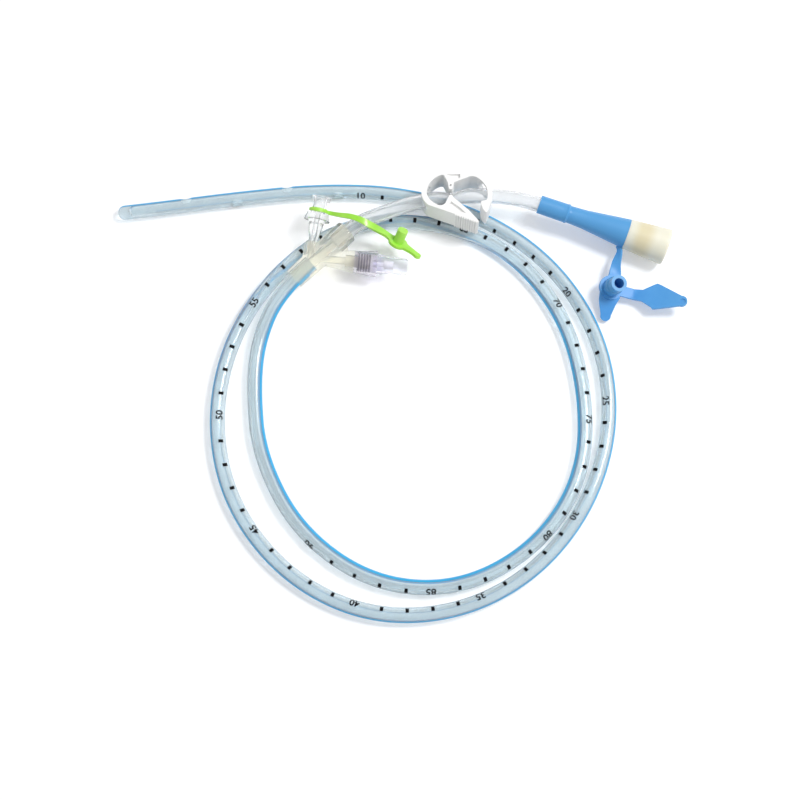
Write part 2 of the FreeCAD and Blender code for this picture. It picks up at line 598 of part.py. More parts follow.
def make_connector(frame):
    """Make the four pieces of the side connector, in the frame of the branch face."""
    hub = revolved("hub_spigot", [
        (0, hub_bore / 2), (0, hub_spigot_od / 2), (hub_insertion, hub_spigot_od / 2),
        (hub_insertion, hub_thread_od / 2), (hub_insertion + hub_reach, hub_thread_od / 2),
        (hub_insertion + hub_reach, hub_bore / 2)])
    hub.Placement = within(frame, 0, 0, -hub_insertion.value)
    hole = hub_thread_od / 2 + glue_gap
    lock = revolved("lock_collar", [
        (0, hole), (0, lock_near_od / 2), (lock_length, lock_far_od / 2), (lock_length, lock_bore / 2),
        (lock_floor, lock_bore / 2), (lock_floor, hole)])
    lock.Placement = frame
    tail_end = barrel_tail
    flange_end = tail_end + barrel_flange
    barrel_end = flange_end + barrel_length
    nozzle_hole = nozzle_od / 2 + glue_gap
    barrel = revolved("port_barrel", [
        (0, nozzle_hole), (0, lock_bore / 2 - glue_gap), (tail_end, lock_bore / 2 - glue_gap),
        (tail_end, barrel_flange_od / 2), (flange_end, barrel_flange_od / 2), (flange_end, barrel_near_od / 2),
        (barrel_end, barrel_far_od / 2), (barrel_end, barrel_bore / 2), (barrel_web, barrel_bore / 2),
        (barrel_web, nozzle_hole)])
    tail_place = lock_length.value - barrel_tail.value
    barrel.Placement = within(frame, 0, 0, tail_place)
    nozzle = revolved("valve_nozzle", [
        (0, 0), (0, nozzle_od / 2), (nozzle_length, nozzle_od / 2 - 0.2), (nozzle_length, 0)])
    nozzle.Placement = within(frame, 0, 0, tail_place)
    plug_seat = nozzle_length - 1.6
    valve = revolved("valve_sleeve", [
        (0, nozzle_od / 2 + glue_gap), (0, valve_od / 2), (valve_length, valve_od / 2), (valve_length, 0),
        (1.6 + 0.2, 0), (1.6 + 0.2, nozzle_od / 2 + glue_gap)])
    valve.Placement = within(frame, 0, 0, tail_place + plug_seat.value)
    return [hub, lock, barrel, nozzle, valve]


def make_drain_tube(frame):
    """Make the drain tube from the manifold to the funnel and return its end frame.

    It is bored where it plugs in, plain between, and dented where the clamp's
    noses press it.
    """
    start = frame.multVec(V(run_length.value - drain_insertion.value, 0, 0))
    leave = frame.multVec(V(run_length.value + 4.0, 0, 0))
    route = [tuple(start), tuple(leave)] + DRAIN_ROUTE
    path, radii = rounded_path(route)
    wall = swept_round("drain_wall", path, drain_od)
    heading = (V(*DRAIN_ROUTE[-1]) - V(*DRAIN_ROUTE[-2])).normalize()
    end = V(*DRAIN_ROUTE[-1])
    holes = []
    for name, mouth, inward, seat in (
            ("drain_start_bore", start, (leave - start).normalize(), drain_insertion),
            ("drain_end_bore", end, V(0, 0, 0) - heading, funnel_insertion)):
        hole = add("Part::Cylinder", name, Radius=drain_bore / 2, Height=seat * 1.4)
        hole.Placement = FreeCAD.Placement(mouth, FreeCAD.Rotation(UP, inward))
        holes.append(hole)
    tube = cut("drain_tube_cut", wall, fuse("drain_holes", holes + nose_reliefs()))
    print("drain tube length", round(path.Length, 1))
    print("drain tube arc radii", [round(radius, 1) for radius in radii])
    print_plain_volume("drain tube", wall, path, drain_od)
    return tube, frame_at(end - heading * funnel_insertion.value, heading)


def make_funnel(frame):
    """Make the blue funnel with its tethered stopper, and the soft mouth piece."""
    sleeve_bore = drain_od / 2 + glue_gap
    bead_from = sleeve_length
    bead_top = sleeve_length + 0.6
    bead_to = sleeve_length + 1.4
    spigot_end = funnel_length + spigot_length
    cone = revolved("funnel_cone", [
        (0, sleeve_bore), (0, sleeve_od / 2), (bead_from, sleeve_od / 2 + 0.1), (bead_top, bead_od / 2),
        (bead_to, throat_od / 2), (waist_at, waist_od / 2), (funnel_length, funnel_od / 2),
        (funnel_length, spigot_od / 2), (spigot_end, spigot_od / 2), (spigot_end, spigot_bore / 2),
        (funnel_length - 6, spigot_bore / 2), (waist_at - 3, funnel_bore / 2),
        (funnel_insertion, funnel_bore / 2), (funnel_insertion, sleeve_bore)])
    cone.Placement = frame
    rim = funnel_length + mouth_length
    mouth = revolved("funnel_mouth", [
        (funnel_length, spigot_od / 2 + glue_gap), (funnel_length, mouth_near_od / 2),
        (rim, mouth_far_od / 2), (rim, mouth_bore / 2), (spigot_end, mouth_bore / 2),
        (spigot_end, spigot_od / 2 + glue_gap)])
    round_edges(mouth, "funnel_mouth_rim", mouth_round, rim, mouth_far_od)
    mouth.Placement = frame
    stopper, dimple = make_stopper(frame)
    return cut("drain_funnel_dimpled", fuse("drain_funnel_joined", [cone] + stopper), dimple), mouth


def make_stopper(funnel_frame):
    """Make the stopper's disc, steps, strap and tabs, ready to join to the funnel."""
    centre = funnel_frame.multVec(V(stopper_along.value, -stopper_aside.value, -stopper_drop.value))
    base = frame_at(centre, level_heading(funnel_frame, stopper_turn.value))
    leaning = FreeCAD.Rotation(ACROSS, stopper_lean.value).multiply(FreeCAD.Rotation(ALONG, stopper_tip.value))
    tilted = base.multiply(FreeCAD.Placement(V(0, 0, 0), leaning))
    outline = [
        (0, 0), (stopper_disc_od / 2, 0), (stopper_disc_od / 2, stopper_disc), (step_low_od / 2, stopper_disc),
        (step_low_od / 2, stopper_disc + step_height), (step_high_od / 2, stopper_disc + step_height + 0.5),
        (step_high_od / 2, stopper_disc + step_height * 2), (stopper_bore / 2, stopper_disc + step_height * 2),
        (stopper_bore / 2, stopper_disc + step_height * 2 - stopper_depth),
        (0, stopper_disc + step_height * 2 - stopper_depth)]
    plug = revolved("stopper_plug", [(height, radius) for radius, height in outline])
    plug.Placement = tilted.multiply(FreeCAD.Placement(V(0, 0, 0), FreeCAD.Rotation(ALONG, UP)))
    side = base.Rotation.multVec(ALONG)
    level = base.Rotation.multVec(ACROSS)
    half = stopper_disc.value / 2
    on_funnel = funnel_frame.multVec(V(funnel_length.value - 1.6, -funnel_od.value / 2 + 0.9, -2.2))
    strap = ribbon("stopper_strap_ribbon", [
        (on_funnel, 2.2, (side * 0.6 + UP).normalize()),
        (base.multVec(V(0.1, 15.6, 1.5)), 2.3, (side + UP).normalize()),
        (base.multVec(V(0.0, 12.2, 1.8)), 3.2, (side + UP * 0.5).normalize()),
        (base.multVec(V(0.1, 8.6, 1.3)), 4.2, side),
        (tilted.multVec(V(0.2, 3.6, half)), 5.0, tilted.Rotation.multVec(ALONG))], stopper_strap)
    low_start, low_stop = base.multVec(V(0.3, -5.4, -1.15)), base.multVec(V(0.9, -11.0, -3.3))
    low = tongue("stopper_low_tab", (tilted.multVec(V(0.4, -2.9, half)), tilted.Rotation.multVec(ALONG)),
                 frame_at(low_start, (low_stop - low_start).normalize()),
                 [(0, 0, low_tab_wide.value), (0, 0, low_tab_wide.value * 0.84),
                  (1.2, 0, low_tab_wide.value * 0.76),
                  ((low_stop - low_start).Length, 0, low_tab_end_od.value * 0.93)], low_tab_end_od)
    leaf_start, leaf_stop = base.multVec(V(9.8, 0.3, -1.7)), base.multVec(V(29.8, 0.3, 3.0))
    reach = leaf_reach.value
    leaf_frame = frame_at(leaf_start, (leaf_stop - leaf_start).normalize())
    leaf = tongue("stopper_leaf", (tilted.multVec(V(3.4, 0, half)), tilted.Rotation.multVec(ACROSS)), leaf_frame,
                  [(0, 0, leaf_neck.value), (0, 0, leaf_neck.value), (reach * 0.18, 0.1, leaf_neck.value + 0.4),
                   (reach * 0.39, 0.5, leaf_wide.value * 0.86), (reach * 0.44, 0.6, leaf_wide.value),
                   (reach * 0.51, 0.5, leaf_wide.value * 0.95), (reach, 0.3, leaf_end_od.value * 0.93)],
                  leaf_end_od)
    dimple = add("Part::Cylinder", "leaf_dimple", Radius=dimple_od / 2, Height=stopper_strap)
    dimple.Placement = leaf_frame.multiply(FreeCAD.Placement(V(reach + 0.5, 0.2, 0.2), FreeCAD.Rotation()))
    return [plug, strap] + low + leaf, dimple


def tongue(name, root, frame, stations, end_od):
    """Make a flat tab in the plane of a frame: a strap with straight edges and a round end.

    The root is the first station's point and side; each further station is
    (along, across, width), and the first one listed gives the root's width.
    """
    side = frame.Rotation.multVec(ACROSS)
    places = [(root[0], stations[0][2], root[1])]
    for along, across, width in stations[1:]:
        places.append((frame.multVec(V(along, across, 0)), width, side))
    strap = ribbon(name, places, stopper_strap)
    strap.Ruled = True
    disc = add("Part::Cylinder", f"{name}_end", Radius=end_od / 2, Height=stopper_strap)
    along, across, _ = stations[-1]
    disc.Placement = frame.multiply(FreeCAD.Placement(
        V(along, across, -stopper_strap.value / 2), FreeCAD.Rotation()))
    return [strap, disc]


def clamp_outline():
    """Return the clamp's profile face, seen from above, with the tube along X."""
    right = V(13.7, -5.7, 0)
    shoulder = V(11.35, 4.3, 0)
    roof_right = V(4.6, 7.75, 0)
    roof_left = V(-6.2, 7.85, 0)
    flank = V(-14.5, -1.8, 0)
    heel = V(*LEVER_HEEL, 0)
    lever_end = V(*LEVER_END, 0)
    half = nose_tip.value / 2
    upper = V(*NOSE_UPPER, 0)
    lower = V(*NOSE_LOWER, 0)
    sideways = V(half, 0, 0)
    inward = V(0, half, 0)
    line = Part.LineSegment
    arc = Part.Arc
    outside = [
        arc(right, V(14.15, -0.9, 0), shoulder), arc(shoulder, V(8.6, 6.6, 0), roof_right),
        line(roof_right, roof_left), arc(roof_left, V(-11.7, 4.9, 0), flank),
        arc(flank, V(-13.65, -5.1, 0), heel), line(heel, lever_end)]
    lever_nose = V(8.6, -14.7, 0)
    back = V(4.6, -9.85, 0)
    floor_right, floor_left = V(-4.9, -6.6, 0), V(-8.6, -6.9, 0)
    near = V(-12.4, -1.6, 0)
    corner_left, corner_right = V(-6.3, 6.3, 0), V(-5.3, 6.2, 0)
    post_left, post_right = V(-3.75, 2.8, 0), V(-1.2, 2.9, 0)
    roof_in, shoulder_in = V(3.9, 5.0, 0), V(8.9, 4.55, 0)
    catch_out, catch_in = V(11.9, -5.2, 0), V(9.6, -5.7, 0)
    hook_in, hook_low, hook_out = V(9.65, -7.3, 0), V(11.3, -10.6, 0), V(12.1, -10.1, 0)
    inside = [
        line(lever_end, lever_nose), line(lever_nose, back), line(back, lower + sideways),
        arc(lower + sideways, lower + inward, lower - sideways),
        line(lower - sideways, floor_right), arc(floor_right, V(-6.5, -7.55, 0), floor_left),
        arc(floor_left, V(-11.3, -4.6, 0), near), arc(near, V(-10.6, 3.2, 0), corner_left),
        line(corner_left, corner_right), line(corner_right, post_left),
        line(post_left, upper - sideways), arc(upper - sideways, upper - inward, upper + sideways),
        line(upper + sideways, post_right), line(post_right, roof_in),
        arc(roof_in, V(6.6, 5.65, 0), shoulder_in), arc(shoulder_in, V(12.0, 0.2, 0), catch_out),
        line(catch_out, catch_in), line(catch_in, hook_in),
        arc(hook_in, V(10.3, -9.2, 0), hook_low), arc(hook_low, V(11.8, -10.7, 0), hook_out),
        arc(hook_out, V(13.0, -7.9, 0), right)]
    return Part.Face(Part.Wire([curve.toShape() for curve in outside + inside]))


def clamp_place():
    """Return the clamp's placement: on the middle of the drain tube, leaning back a little."""
    before, corner, after = (V(*point) for point in DRAIN_ROUTE[1:4])
    heading = (after - before).normalize()
    frame = frame_at((before + corner * 6 + after) * 0.125, heading)
    at_tube = frame.multVec(V(clamp_along.value, clamp_across.value, 0))
    turned = FreeCAD.Rotation(UP, clamp_turn.value).multiply(FreeCAD.Rotation(ALONG, clamp_lean.value))
    return FreeCAD.Placement(at_tube, frame.Rotation.multiply(turned))


def nose_reliefs():
    """Make the dents that the clamp's two noses press into the drain tube."""
    place = clamp_place()
    reliefs = []
    for name, centre in (("upper", NOSE_UPPER), ("lower", NOSE_LOWER)):
        dent = add("Part::Cylinder", f"{name}_nose_dent", Radius=nose_tip / 2 + glue_gap,
                   Height=clamp_depth)
        dent.Placement = place.multiply(FreeCAD.Placement(
            V(centre[0], centre[1], -clamp_depth.value / 2), FreeCAD.Rotation()))
        reliefs.append(dent)
    half = nose_tip.value / 2 + glue_gap.value
    for name, (x, y), side, left, right in (
            ("upper", NOSE_UPPER, 1, 1.25, 1.5), ("lower", NOSE_LOWER, -1, 1.85, 2.85)):
        corners = [V(x - half, y, 0), V(x - left, y + side * 1.9, 0), V(x + right, y + side * 1.9, 0),
                   V(x + half, y, 0)]
        outline = feature(f"{name}_wedge_outline", Part.makePolygon(corners + corners[:1]))
        outline.Placement = FreeCAD.Placement(V(0, 0, -clamp_depth.value / 2), FreeCAD.Rotation())
        wedge = add("Part::Extrusion", f"{name}_wedge", LengthFwd=clamp_depth)
        wedge.Base = outline
        wedge.DirMode = "Custom"
        wedge.Dir = UP
        wedge.Solid = True
        wedge.Placement = place
        reliefs.append(wedge)
    return reliefs


def make_clamp():
    """Make the pinch clamp: one bent strip with two noses, a catch and a ribbed lever."""
    place = clamp_place()
    profile = feature("clamp_profile", clamp_outline())
    profile.Placement = FreeCAD.Placement(V(0, 0, -clamp_depth.value / 2), FreeCAD.Rotation())
    strip = add("Part::Extrusion", "clamp_strip", LengthFwd=clamp_depth)
    strip.Base = profile
    strip.DirMode = "Custom"
    strip.Dir = UP
    strip.Solid = True
    cutters = []
    for name, corners in (
            ("upper", ((-4.1, 6.6), (1.3, 6.6), (1.3, 5.0), (-1.8, 3.7), (-2.9, 3.6))),
            ("lower", ((-2.6, -5.7), (-3.6, -8.6), (3.4, -11.2), (1.1, -8.6)))):
        points = [V(x, y, 0) for x, y in corners]
        outline = feature(f"{name}_recess_outline", Part.makePolygon(points + points[:1]))
        outline.Placement = FreeCAD.Placement(
            V(0, 0, clamp_depth.value / 2 - recess_depth.value), FreeCAD.Rotation())
        recess = add("Part::Extrusion", f"{name}_recess", LengthFwd=recess_depth * 2)
        recess.Base = outline
        recess.DirMode = "Custom"
        recess.Dir = UP
        recess.Solid = True
        cutters.append(recess)
    pit = add("Part::Cylinder", "nose_pit", Radius=nose_pit / 2, Height=recess_depth * 2)
    pit.Placement = FreeCAD.Placement(
        V(NOSE_UPPER[0], NOSE_UPPER[1] + 1.1, clamp_depth.value / 2 - recess_depth.value),
        FreeCAD.Rotation())
    cutters.append(pit)
    on_tube = FreeCAD.Placement(V(0, clamp_slot_rise.value - clamp_across.value, 0),
                                FreeCAD.Rotation(UP, -clamp_turn.value))
    reach = (clamp_slot_long.value - clamp_slot_wide.value) / 2
    slot = add("Part::Box", "tube_slot", Length=40.0, Width=clamp_slot_long - clamp_slot_wide,
               Height=clamp_slot_wide)
    slot.Placement = on_tube.multiply(FreeCAD.Placement(
        V(-20, -reach, -clamp_slot_wide.value / 2), FreeCAD.Rotation()))
    ends = []
    for name, offset in (("slot_upper_round", reach), ("slot_lower_round", -reach)):
        end = add("Part::Cylinder", name, Radius=clamp_slot_wide / 2, Height=40.0)
        end.Placement = on_tube.multiply(FreeCAD.Placement(
            V(-20, offset, 0), FreeCAD.Rotation(UP, ALONG)))
        ends.append(end)
    keep = add("Part::Box", "slot_middle", Length=clamp_middle, Width=40.0, Height=40.0)
    keep.Placement = FreeCAD.Placement(V(-clamp_middle_back.value, -20, -20), FreeCAD.Rotation())
    slots = cut("tube_slots", fuse("slot_shape", [slot] + ends), keep)
    slotted = cut("clamp_slotted", strip, fuse("clamp_cutters", [slots] + cutters))
    lever = V(LEVER_END[0] - LEVER_HEEL[0], LEVER_END[1] - LEVER_HEEL[1], 0).normalize()
    turn = math.degrees(math.atan2(lever.y, lever.x))
    end_inset = rib_pitch.value * rib_count
    start = V(LEVER_END[0], LEVER_END[1], 0) - lever * end_inset
    ribs = []
    for index in range(rib_count):
        rib = add("Part::Box", f"grip_rib_{index + 1}", Length=rib_size, Width=rib_size * 2,
                  Height=clamp_depth)
        at = start + lever * (index * rib_pitch.value)
        on_lever = FreeCAD.Placement(at, FreeCAD.Rotation(UP, turn))
        rib.Placement = on_lever.multiply(FreeCAD.Placement(
            V(0, -rib_size.value, -clamp_depth.value / 2), FreeCAD.Rotation()))
        ribs.append(rib)
    clamp = fuse("pinch_clamp_joined", [slotted] + ribs)
    clamp.Placement = place
    return clamp


def publish(thing, label):
    """Give a finished piece its name."""
    if thing.Label != label:
        thing.Label = label
    return thing


def build():
    """Build every piece and return them in order."""
    last, end = V(*TUBE_ROUTE[-2]), V(*TUBE_ROUTE[-1])
    heading = (end - last).normalize()
    manifold_frame = frame_at(end - heading * tube_insertion.value, heading, manifold_roll.value)
    tube = make_main_tube()
    manifold = make_manifold(manifold_frame)
    vent_frame = within(manifold_frame, vent_root.value, vent_angle.value,
                        vent_boss.value - stem_insertion.value)
    port, neck_start = make_vent_port(vent_frame)
    cap = make_vent_cap(vent_frame, neck_start)
    side_frame = within(manifold_frame, side_root.value, side_angle.value, side_length.value)
    hub, lock, barrel, nozzle, valve = make_connector(side_frame)
    drain, funnel_frame = make_drain_tube(manifold_frame)
    funnel, mouth = make_funnel(funnel_frame)
    clamp = make_clamp()
    return [
        publish(tube, "main_tube"), publish(manifold, "manifold"), publish(port, "vent_port"),
        publish(cap, "vent_cap"), publish(hub, "hub_spigot"), publish(lock, "lock_collar"),
        publish(barrel, "port_barrel"), publish(nozzle, "valve_nozzle"), publish(valve, "valve_sleeve"),
        publish(drain, "drain_tube"), publish(clamp, "pinch_clamp"), publish(funnel, "drain_funnel"),
        publish(mouth, "funnel_mouth")]


def write(pieces):
    """Check every object and piece, then write one STEP file for each piece."""
    DOC.recompute()
    for thing in DOC.Objects:
        if "Invalid" in thing.State or "Error" in thing.State:
            raise RuntimeError(f"{thing.Label} failed: {thing.State}")
    for piece in pieces:
        shape = piece.Shape
        if shape.isNull() or not shape.isValid() or len(shape.Solids) != 1:
            raise RuntimeError(f"{piece.Label} is not one valid solid: {len(shape.Solids)}")
    os.makedirs("parts", exist_ok=True)
    for piece in pieces:
        piece.Shape.exportStep(f"parts/{piece.Label}.step")
        print(piece.Label, "volume", round(piece.Shape.Volume, 1))


write(build())
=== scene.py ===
"""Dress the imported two-lumen gastric drainage tube.

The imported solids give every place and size. This script adds the two soft tubes with their
real bores, side eyes and print, smooth copies of the moulded pieces, fine raised detail, a
procedural finish for every piece, and a plain pale studio. All lengths are metres.
"""

import logging
import math
from bisect import bisect_left
from dataclasses import dataclass, field
from enum import Enum
from typing import Callable, Sequence

import bmesh
import bpy
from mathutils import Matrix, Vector


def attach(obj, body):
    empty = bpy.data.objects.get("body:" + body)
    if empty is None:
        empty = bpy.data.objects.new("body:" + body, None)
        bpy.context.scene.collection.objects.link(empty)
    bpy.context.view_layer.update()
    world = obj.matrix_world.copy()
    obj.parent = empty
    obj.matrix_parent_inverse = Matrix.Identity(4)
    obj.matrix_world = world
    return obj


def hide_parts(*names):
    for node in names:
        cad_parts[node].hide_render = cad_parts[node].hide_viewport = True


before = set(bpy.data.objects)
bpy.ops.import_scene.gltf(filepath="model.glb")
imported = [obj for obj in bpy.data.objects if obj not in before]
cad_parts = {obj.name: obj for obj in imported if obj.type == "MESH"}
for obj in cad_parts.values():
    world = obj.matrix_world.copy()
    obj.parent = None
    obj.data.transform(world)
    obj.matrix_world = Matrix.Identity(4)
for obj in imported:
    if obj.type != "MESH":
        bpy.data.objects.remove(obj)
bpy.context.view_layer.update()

MM = 0.001
UP = Vector((0.0, 0.0, 1.0))
LOG = logging.getLogger("drainage_tube")

MAIN_ROUTE = (
    (-113.0, 78.4, 3.0), (-97.0, 80.4, 3.0), (-65.0, 84.9, 3.0), (-31.0, 88.4, 3.0),
    (3.0, 86.9, 3.0), (36.0, 75.9, 3.0), (63.5, 54.9, 3.0), (81.0, 24.4, 3.0),
    (85.0, -9.6, 3.0), (75.5, -43.1, 3.0), (54.0, -71.1, 3.0), (23.5, -87.6, 3.0),
    (-11.5, -89.1, 3.0), (-42.5, -74.1, 3.0), (-65.0, -46.6, 3.0), (-73.5, -13.1, 3.0),
    (-68.5, 21.4, 3.0), (-51.0, 51.4, 3.0), (-24.0, 72.9, 3.0), (11.5, 75.4, 3.0),
    (44.0, 63.4, 3.0), (66.0, 35.9, 3.0), (74.5, 2.9, 3.0), (73.0, -32.1, 3.0),
    (55.0, -61.1, 3.0), (24.0, -78.6, 3.0), (-10.0, -76.6, 3.0), (-39.0, -56.1, 3.0),
    (-55.0, -25.6, 3.0), (-58.0, 2.4, 3.0), (-56.5, 22.9, 3.2), (-48.4, 41.9, 6.5),
    (-35.5, 53.6, 8.6),
)
DRAIN_ROUTE = (
    (-26.23, 62.0, 10.13), (-17.85, 69.6, 11.5), (-7.0, 74.1, 11.8), (7.0, 79.2, 12.0),
    (21.0, 81.3, 12.0), (36.0, 82.3, 12.0), (52.0, 80.4, 11.5), (66.8, 75.4, 10.45),
)
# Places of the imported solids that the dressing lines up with, in millimetres
FUNNEL_FACE, FUNNEL_HEADING = (57.35, 78.59, 11.12), (0.94526, -0.31935, -0.06706)
BRANCH_FACE, BRANCH_HEADING = (-18.02, 54.44, 8.25), (0.9952, -0.0854, -0.048)
# Print angle from straight up, towards the inside of the coil, at centimetres from the tip
PRINT_TWIST = (
    (0, 62), (13, 60), (16, 58), (20, 48), (25, 37), (30, 33), (38, 30), (44, 30), (50, 24),
    (55, 10), (57, 2), (59, 0), (63, 5), (66, -5), (70, -21), (74, -25), (77, -30), (80, -34),
    (84, -42), (90, -57), (104, -62),
)
# What the wall's map says along the tube on the cut edges of the side eyes
CUT_EDGE = -3.0


# Shader sums written as Python expressions

@dataclass(frozen=True)
class Value:
    """A number in a shader tree, with its sums written as Python operators."""

    tree: "ShaderTree"
    socket: bpy.types.NodeSocket

    def sum(self, operation: str, *others: object) -> "Value":
        """Add one Math node.

        Args:
            operation: the node's operation.
            others: the other operands, numbers or values.

        Returns:
            The node's result.
        """
        return self.tree.number("ShaderNodeMath", {"operation": operation},
                                {i: v for i, v in enumerate((self, *others))})

    def __add__(self, other: object) -> "Value":
        """Return the sum."""
        return self.sum("ADD", other)

    def __sub__(self, other: object) -> "Value":
        """Return the difference."""
        return self.sum("SUBTRACT", other)

    def __mul__(self, other: object) -> "Value":
        """Return the product."""
        return self.sum("MULTIPLY", other)

    def __rsub__(self, other: float) -> "Value":
        """Return a number less this value."""
        return self.tree.number("ShaderNodeMath", {"operation": "SUBTRACT"}, {0: other, 1: self})

    def __abs__(self) -> "Value":
        """Return the size without its sign."""
        return self.sum("ABSOLUTE")

    __radd__ = __add__
    __rmul__ = __mul__

    def rise(self, low: float, high: float) -> "Value":
        """Rise smoothly from 0 to 1 between two values.

        Args:
            low: where the rise starts.
            high: where it ends.

        Returns:
            A value from 0 to 1.
        """
        return self.tree.number(
            "ShaderNodeMapRange", {"interpolation_type": "SMOOTHSTEP", "clamp": True},
            {"Value": self, "From Min": low, "From Max": high})


class ShaderTree:
    """One material's node tree."""

    def __init__(self, name: str) -> None:
        """Start an empty material of that name."""
        self.material = bpy.data.materials.new(name)
        self.material.use_nodes = True
        self.nodes = self.material.node_tree.nodes
        self.links = self.material.node_tree.links
        self.nodes.clear()

    def node(self, kind: str, settings: dict | None = None,
             inputs: dict | None = None) -> bpy.types.Node:
        """Add a node.

        Args:
            kind: the node's type.
            settings: attributes that are set first.
            inputs: a value, or a link's source, for each socket named or numbered.

        Returns:
            The node.
        """
        made = self.nodes.new(kind)
        for key, value in (settings or {}).items():
            setattr(made, key, value)
        for key, value in (inputs or {}).items():
            target = made.inputs[key]
            if isinstance(value, Value):
                self.links.new(value.socket, target)
            elif isinstance(value, bpy.types.NodeSocket):
                self.links.new(value, target)
            else:
                target.default_value = value
        return made

    def number(self, kind: str, settings: dict, inputs: dict, output: object = 0) -> Value:
        """Add a node and return one of its outputs as a Value."""
        return Value(self, self.node(kind, settings, inputs).outputs[output])

    def place(self) -> bpy.types.NodeSocket:
        """Return the piece's own coordinates, in metres."""
        return self.node("ShaderNodeTexCoord").outputs["Object"]

    def axes(self, vector: bpy.types.NodeSocket) -> tuple[Value, Value, Value]:
        """Return the three parts of a vector."""
        parts = self.node("ShaderNodeSeparateXYZ", {}, {0: vector})
        return tuple(Value(self, parts.outputs[i]) for i in range(3))

    def noise(self, scale: float, detail: float) -> Value:
        """Return noise from 0 to 1 with features 1/scale metres across."""
        return self.number("ShaderNodeTexNoise", {}, {
            "Vector": self.place(), "Scale": scale, "Detail": detail}, "Fac")

    def mix(self, factor: object, first: object, second: object) -> bpy.types.NodeSocket:
        """Mix two colours.

        Args:
            factor: 0 for the first colour, 1 for the second, or a value between.
            first: a colour or a link's source.
            second: another one.

        Returns:
            The mixed colour.
        """
        colours = [(*c, 1.0) if isinstance(c, tuple) and len(c) == 3 else c
                   for c in (first, second)]
        made = self.node("ShaderNodeMix", {"data_type": "RGBA"},
                         {0: factor, 6: colours[0], 7: colours[1]})
        return made.outputs[2]

    def bump(self, height: Value, strength: float, distance: float) -> bpy.types.NodeSocket:
        """Return a normal bent by a height."""
        return self.node("ShaderNodeBump", {}, {
            "Height": height, "Strength": strength, "Distance": distance}).outputs[0]

    def surface(self, **inputs: object) -> bpy.types.NodeSocket:
        """Add a Principled shader.

        Args:
            inputs: its sockets, named with underscores for spaces.

        Returns:
            The shader.
        """
        named = {key.replace("_", " "): value for key, value in inputs.items()}
        if isinstance(named.get("Base Color"), tuple) and len(named["Base Color"]) == 3:
            named["Base Color"] = (*named["Base Color"], 1.0)
        return self.node("ShaderNodeBsdfPrincipled", {}, named).outputs[0]

    def blend(self, factor: Value, first: object, second: object) -> bpy.types.NodeSocket:
        """Return a mix of two shaders."""
        return self.node("ShaderNodeMixShader", {}, {0: factor, 1: first, 2: second}).outputs[0]

    def lit_through(self, shader: object, tint: tuple[float, float, float],
                    share: float) -> bpy.types.NodeSocket:
        """Let a share of the lamp's light pass a thin translucent wall into its shadow.

        Args:
            shader: the wall's own shader.
            tint: the colour of the light that passes.
            share: how much of it passes, from 0 to 1.

        Returns:
            The shader of the wall with its lighter shadow.
        """
        path = self.node("ShaderNodeLightPath")
        clear = self.node("ShaderNodeBsdfTransparent", {}, {0: (*tint, 1.0)}).outputs[0]
        return self.blend(Value(self, path.outputs["Is Shadow Ray"]) * share, shader, clear)

    def finish(self, shader: bpy.types.NodeSocket) -> bpy.types.Material:
        """Send a shader to the output and return the material."""
        self.node("ShaderNodeOutputMaterial", {}, {"Surface": shader})
        return self.material


@dataclass(frozen=True)
class Fade:
    """A change of colour between two distances along a line, in millimetres.

    Where `back` is given, the colour turns back between those two distances.
    """

    origin: tuple[float, float, float]
    heading: tuple[float, float, float]
    start: float
    end: float
    colour: tuple[float, float, float]
    back: tuple[float, float] | None = None

    def over(self, tree: ShaderTree, colour: bpy.types.NodeSocket) -> bpy.types.NodeSocket:
        """Turn a colour into this one along the line.

        Args:
            tree: the material's tree.
            colour: the colour before the change.

        Returns:
            The colour with the change.
        """
        along = tree.number("ShaderNodeVectorMath", {"operation": "DOT_PRODUCT"},
                            {0: tree.place(), 1: self.heading}, "Value")
        base = Vector(self.origin).dot(Vector(self.heading))
        share = along.rise((base + self.start) * MM, (base + self.end) * MM)
        if self.back:
            share = share * (1 - along.rise(*((base + place) * MM for place in self.back)))
        return tree.mix(share, colour, self.colour)


@dataclass(frozen=True)
class Plastic:
    """A moulded or extruded plastic, clear to opaque."""

    name: str
    slot: str
    colour: tuple[float, float, float]
    second: tuple[float, float, float]
    clear: float = 0.0
    roughness: float = 0.25
    soft: float = 0.0
    gloss: float = 0.0
    index: float = 1.48
    alpha: float = 1.0
    passes: float = 0.0
    fade: Fade | None = None
    cloud_scale: float = 140.0
    cloud_tones: tuple[float, float] = (0.25, 0.75)
    uneven: float = 0.12
    grain_scale: float = 2600.0
    grain_strength: float = 0.35
    grain_height: float = 0.02 * MM
    gloss_roughness: float = 0.08
    soft_reach: float = 2.0 * MM
    soft_spread: tuple[float, float, float] = (1.0, 0.9, 0.8)

    def material(self) -> bpy.types.Material:
        """Build the finish.

        Returns:
            A material with a slow change of tone, fine grain and uneven gloss.
        """
        tree = ShaderTree(self.name)
        slow = tree.noise(self.cloud_scale, 3.0)
        fine = tree.noise(self.grain_scale, 2.0)
        colour = tree.mix(slow.rise(*self.cloud_tones), self.colour, self.second)
        if self.fade:
            colour = self.fade.over(tree, colour)
        inputs = {
            "Base_Color": colour,
            "Roughness": slow * self.uneven + (self.roughness - self.uneven / 2),
            "Normal": tree.bump(fine, self.grain_strength, self.grain_height),
            "Transmission_Weight": self.clear, "IOR": self.index, "Alpha": self.alpha,
            "Coat_Weight": self.gloss, "Coat_Roughness": self.gloss_roughness,
        }
        if self.soft:
            inputs |= {"Subsurface_Weight": self.soft, "Subsurface_Scale": self.soft_reach,
                       "Subsurface_Radius": self.soft_spread}
        shader = tree.surface(**inputs)
        if self.passes:
            shader = tree.lit_through(shader, self.second, self.passes)
        return tree.finish(shader)


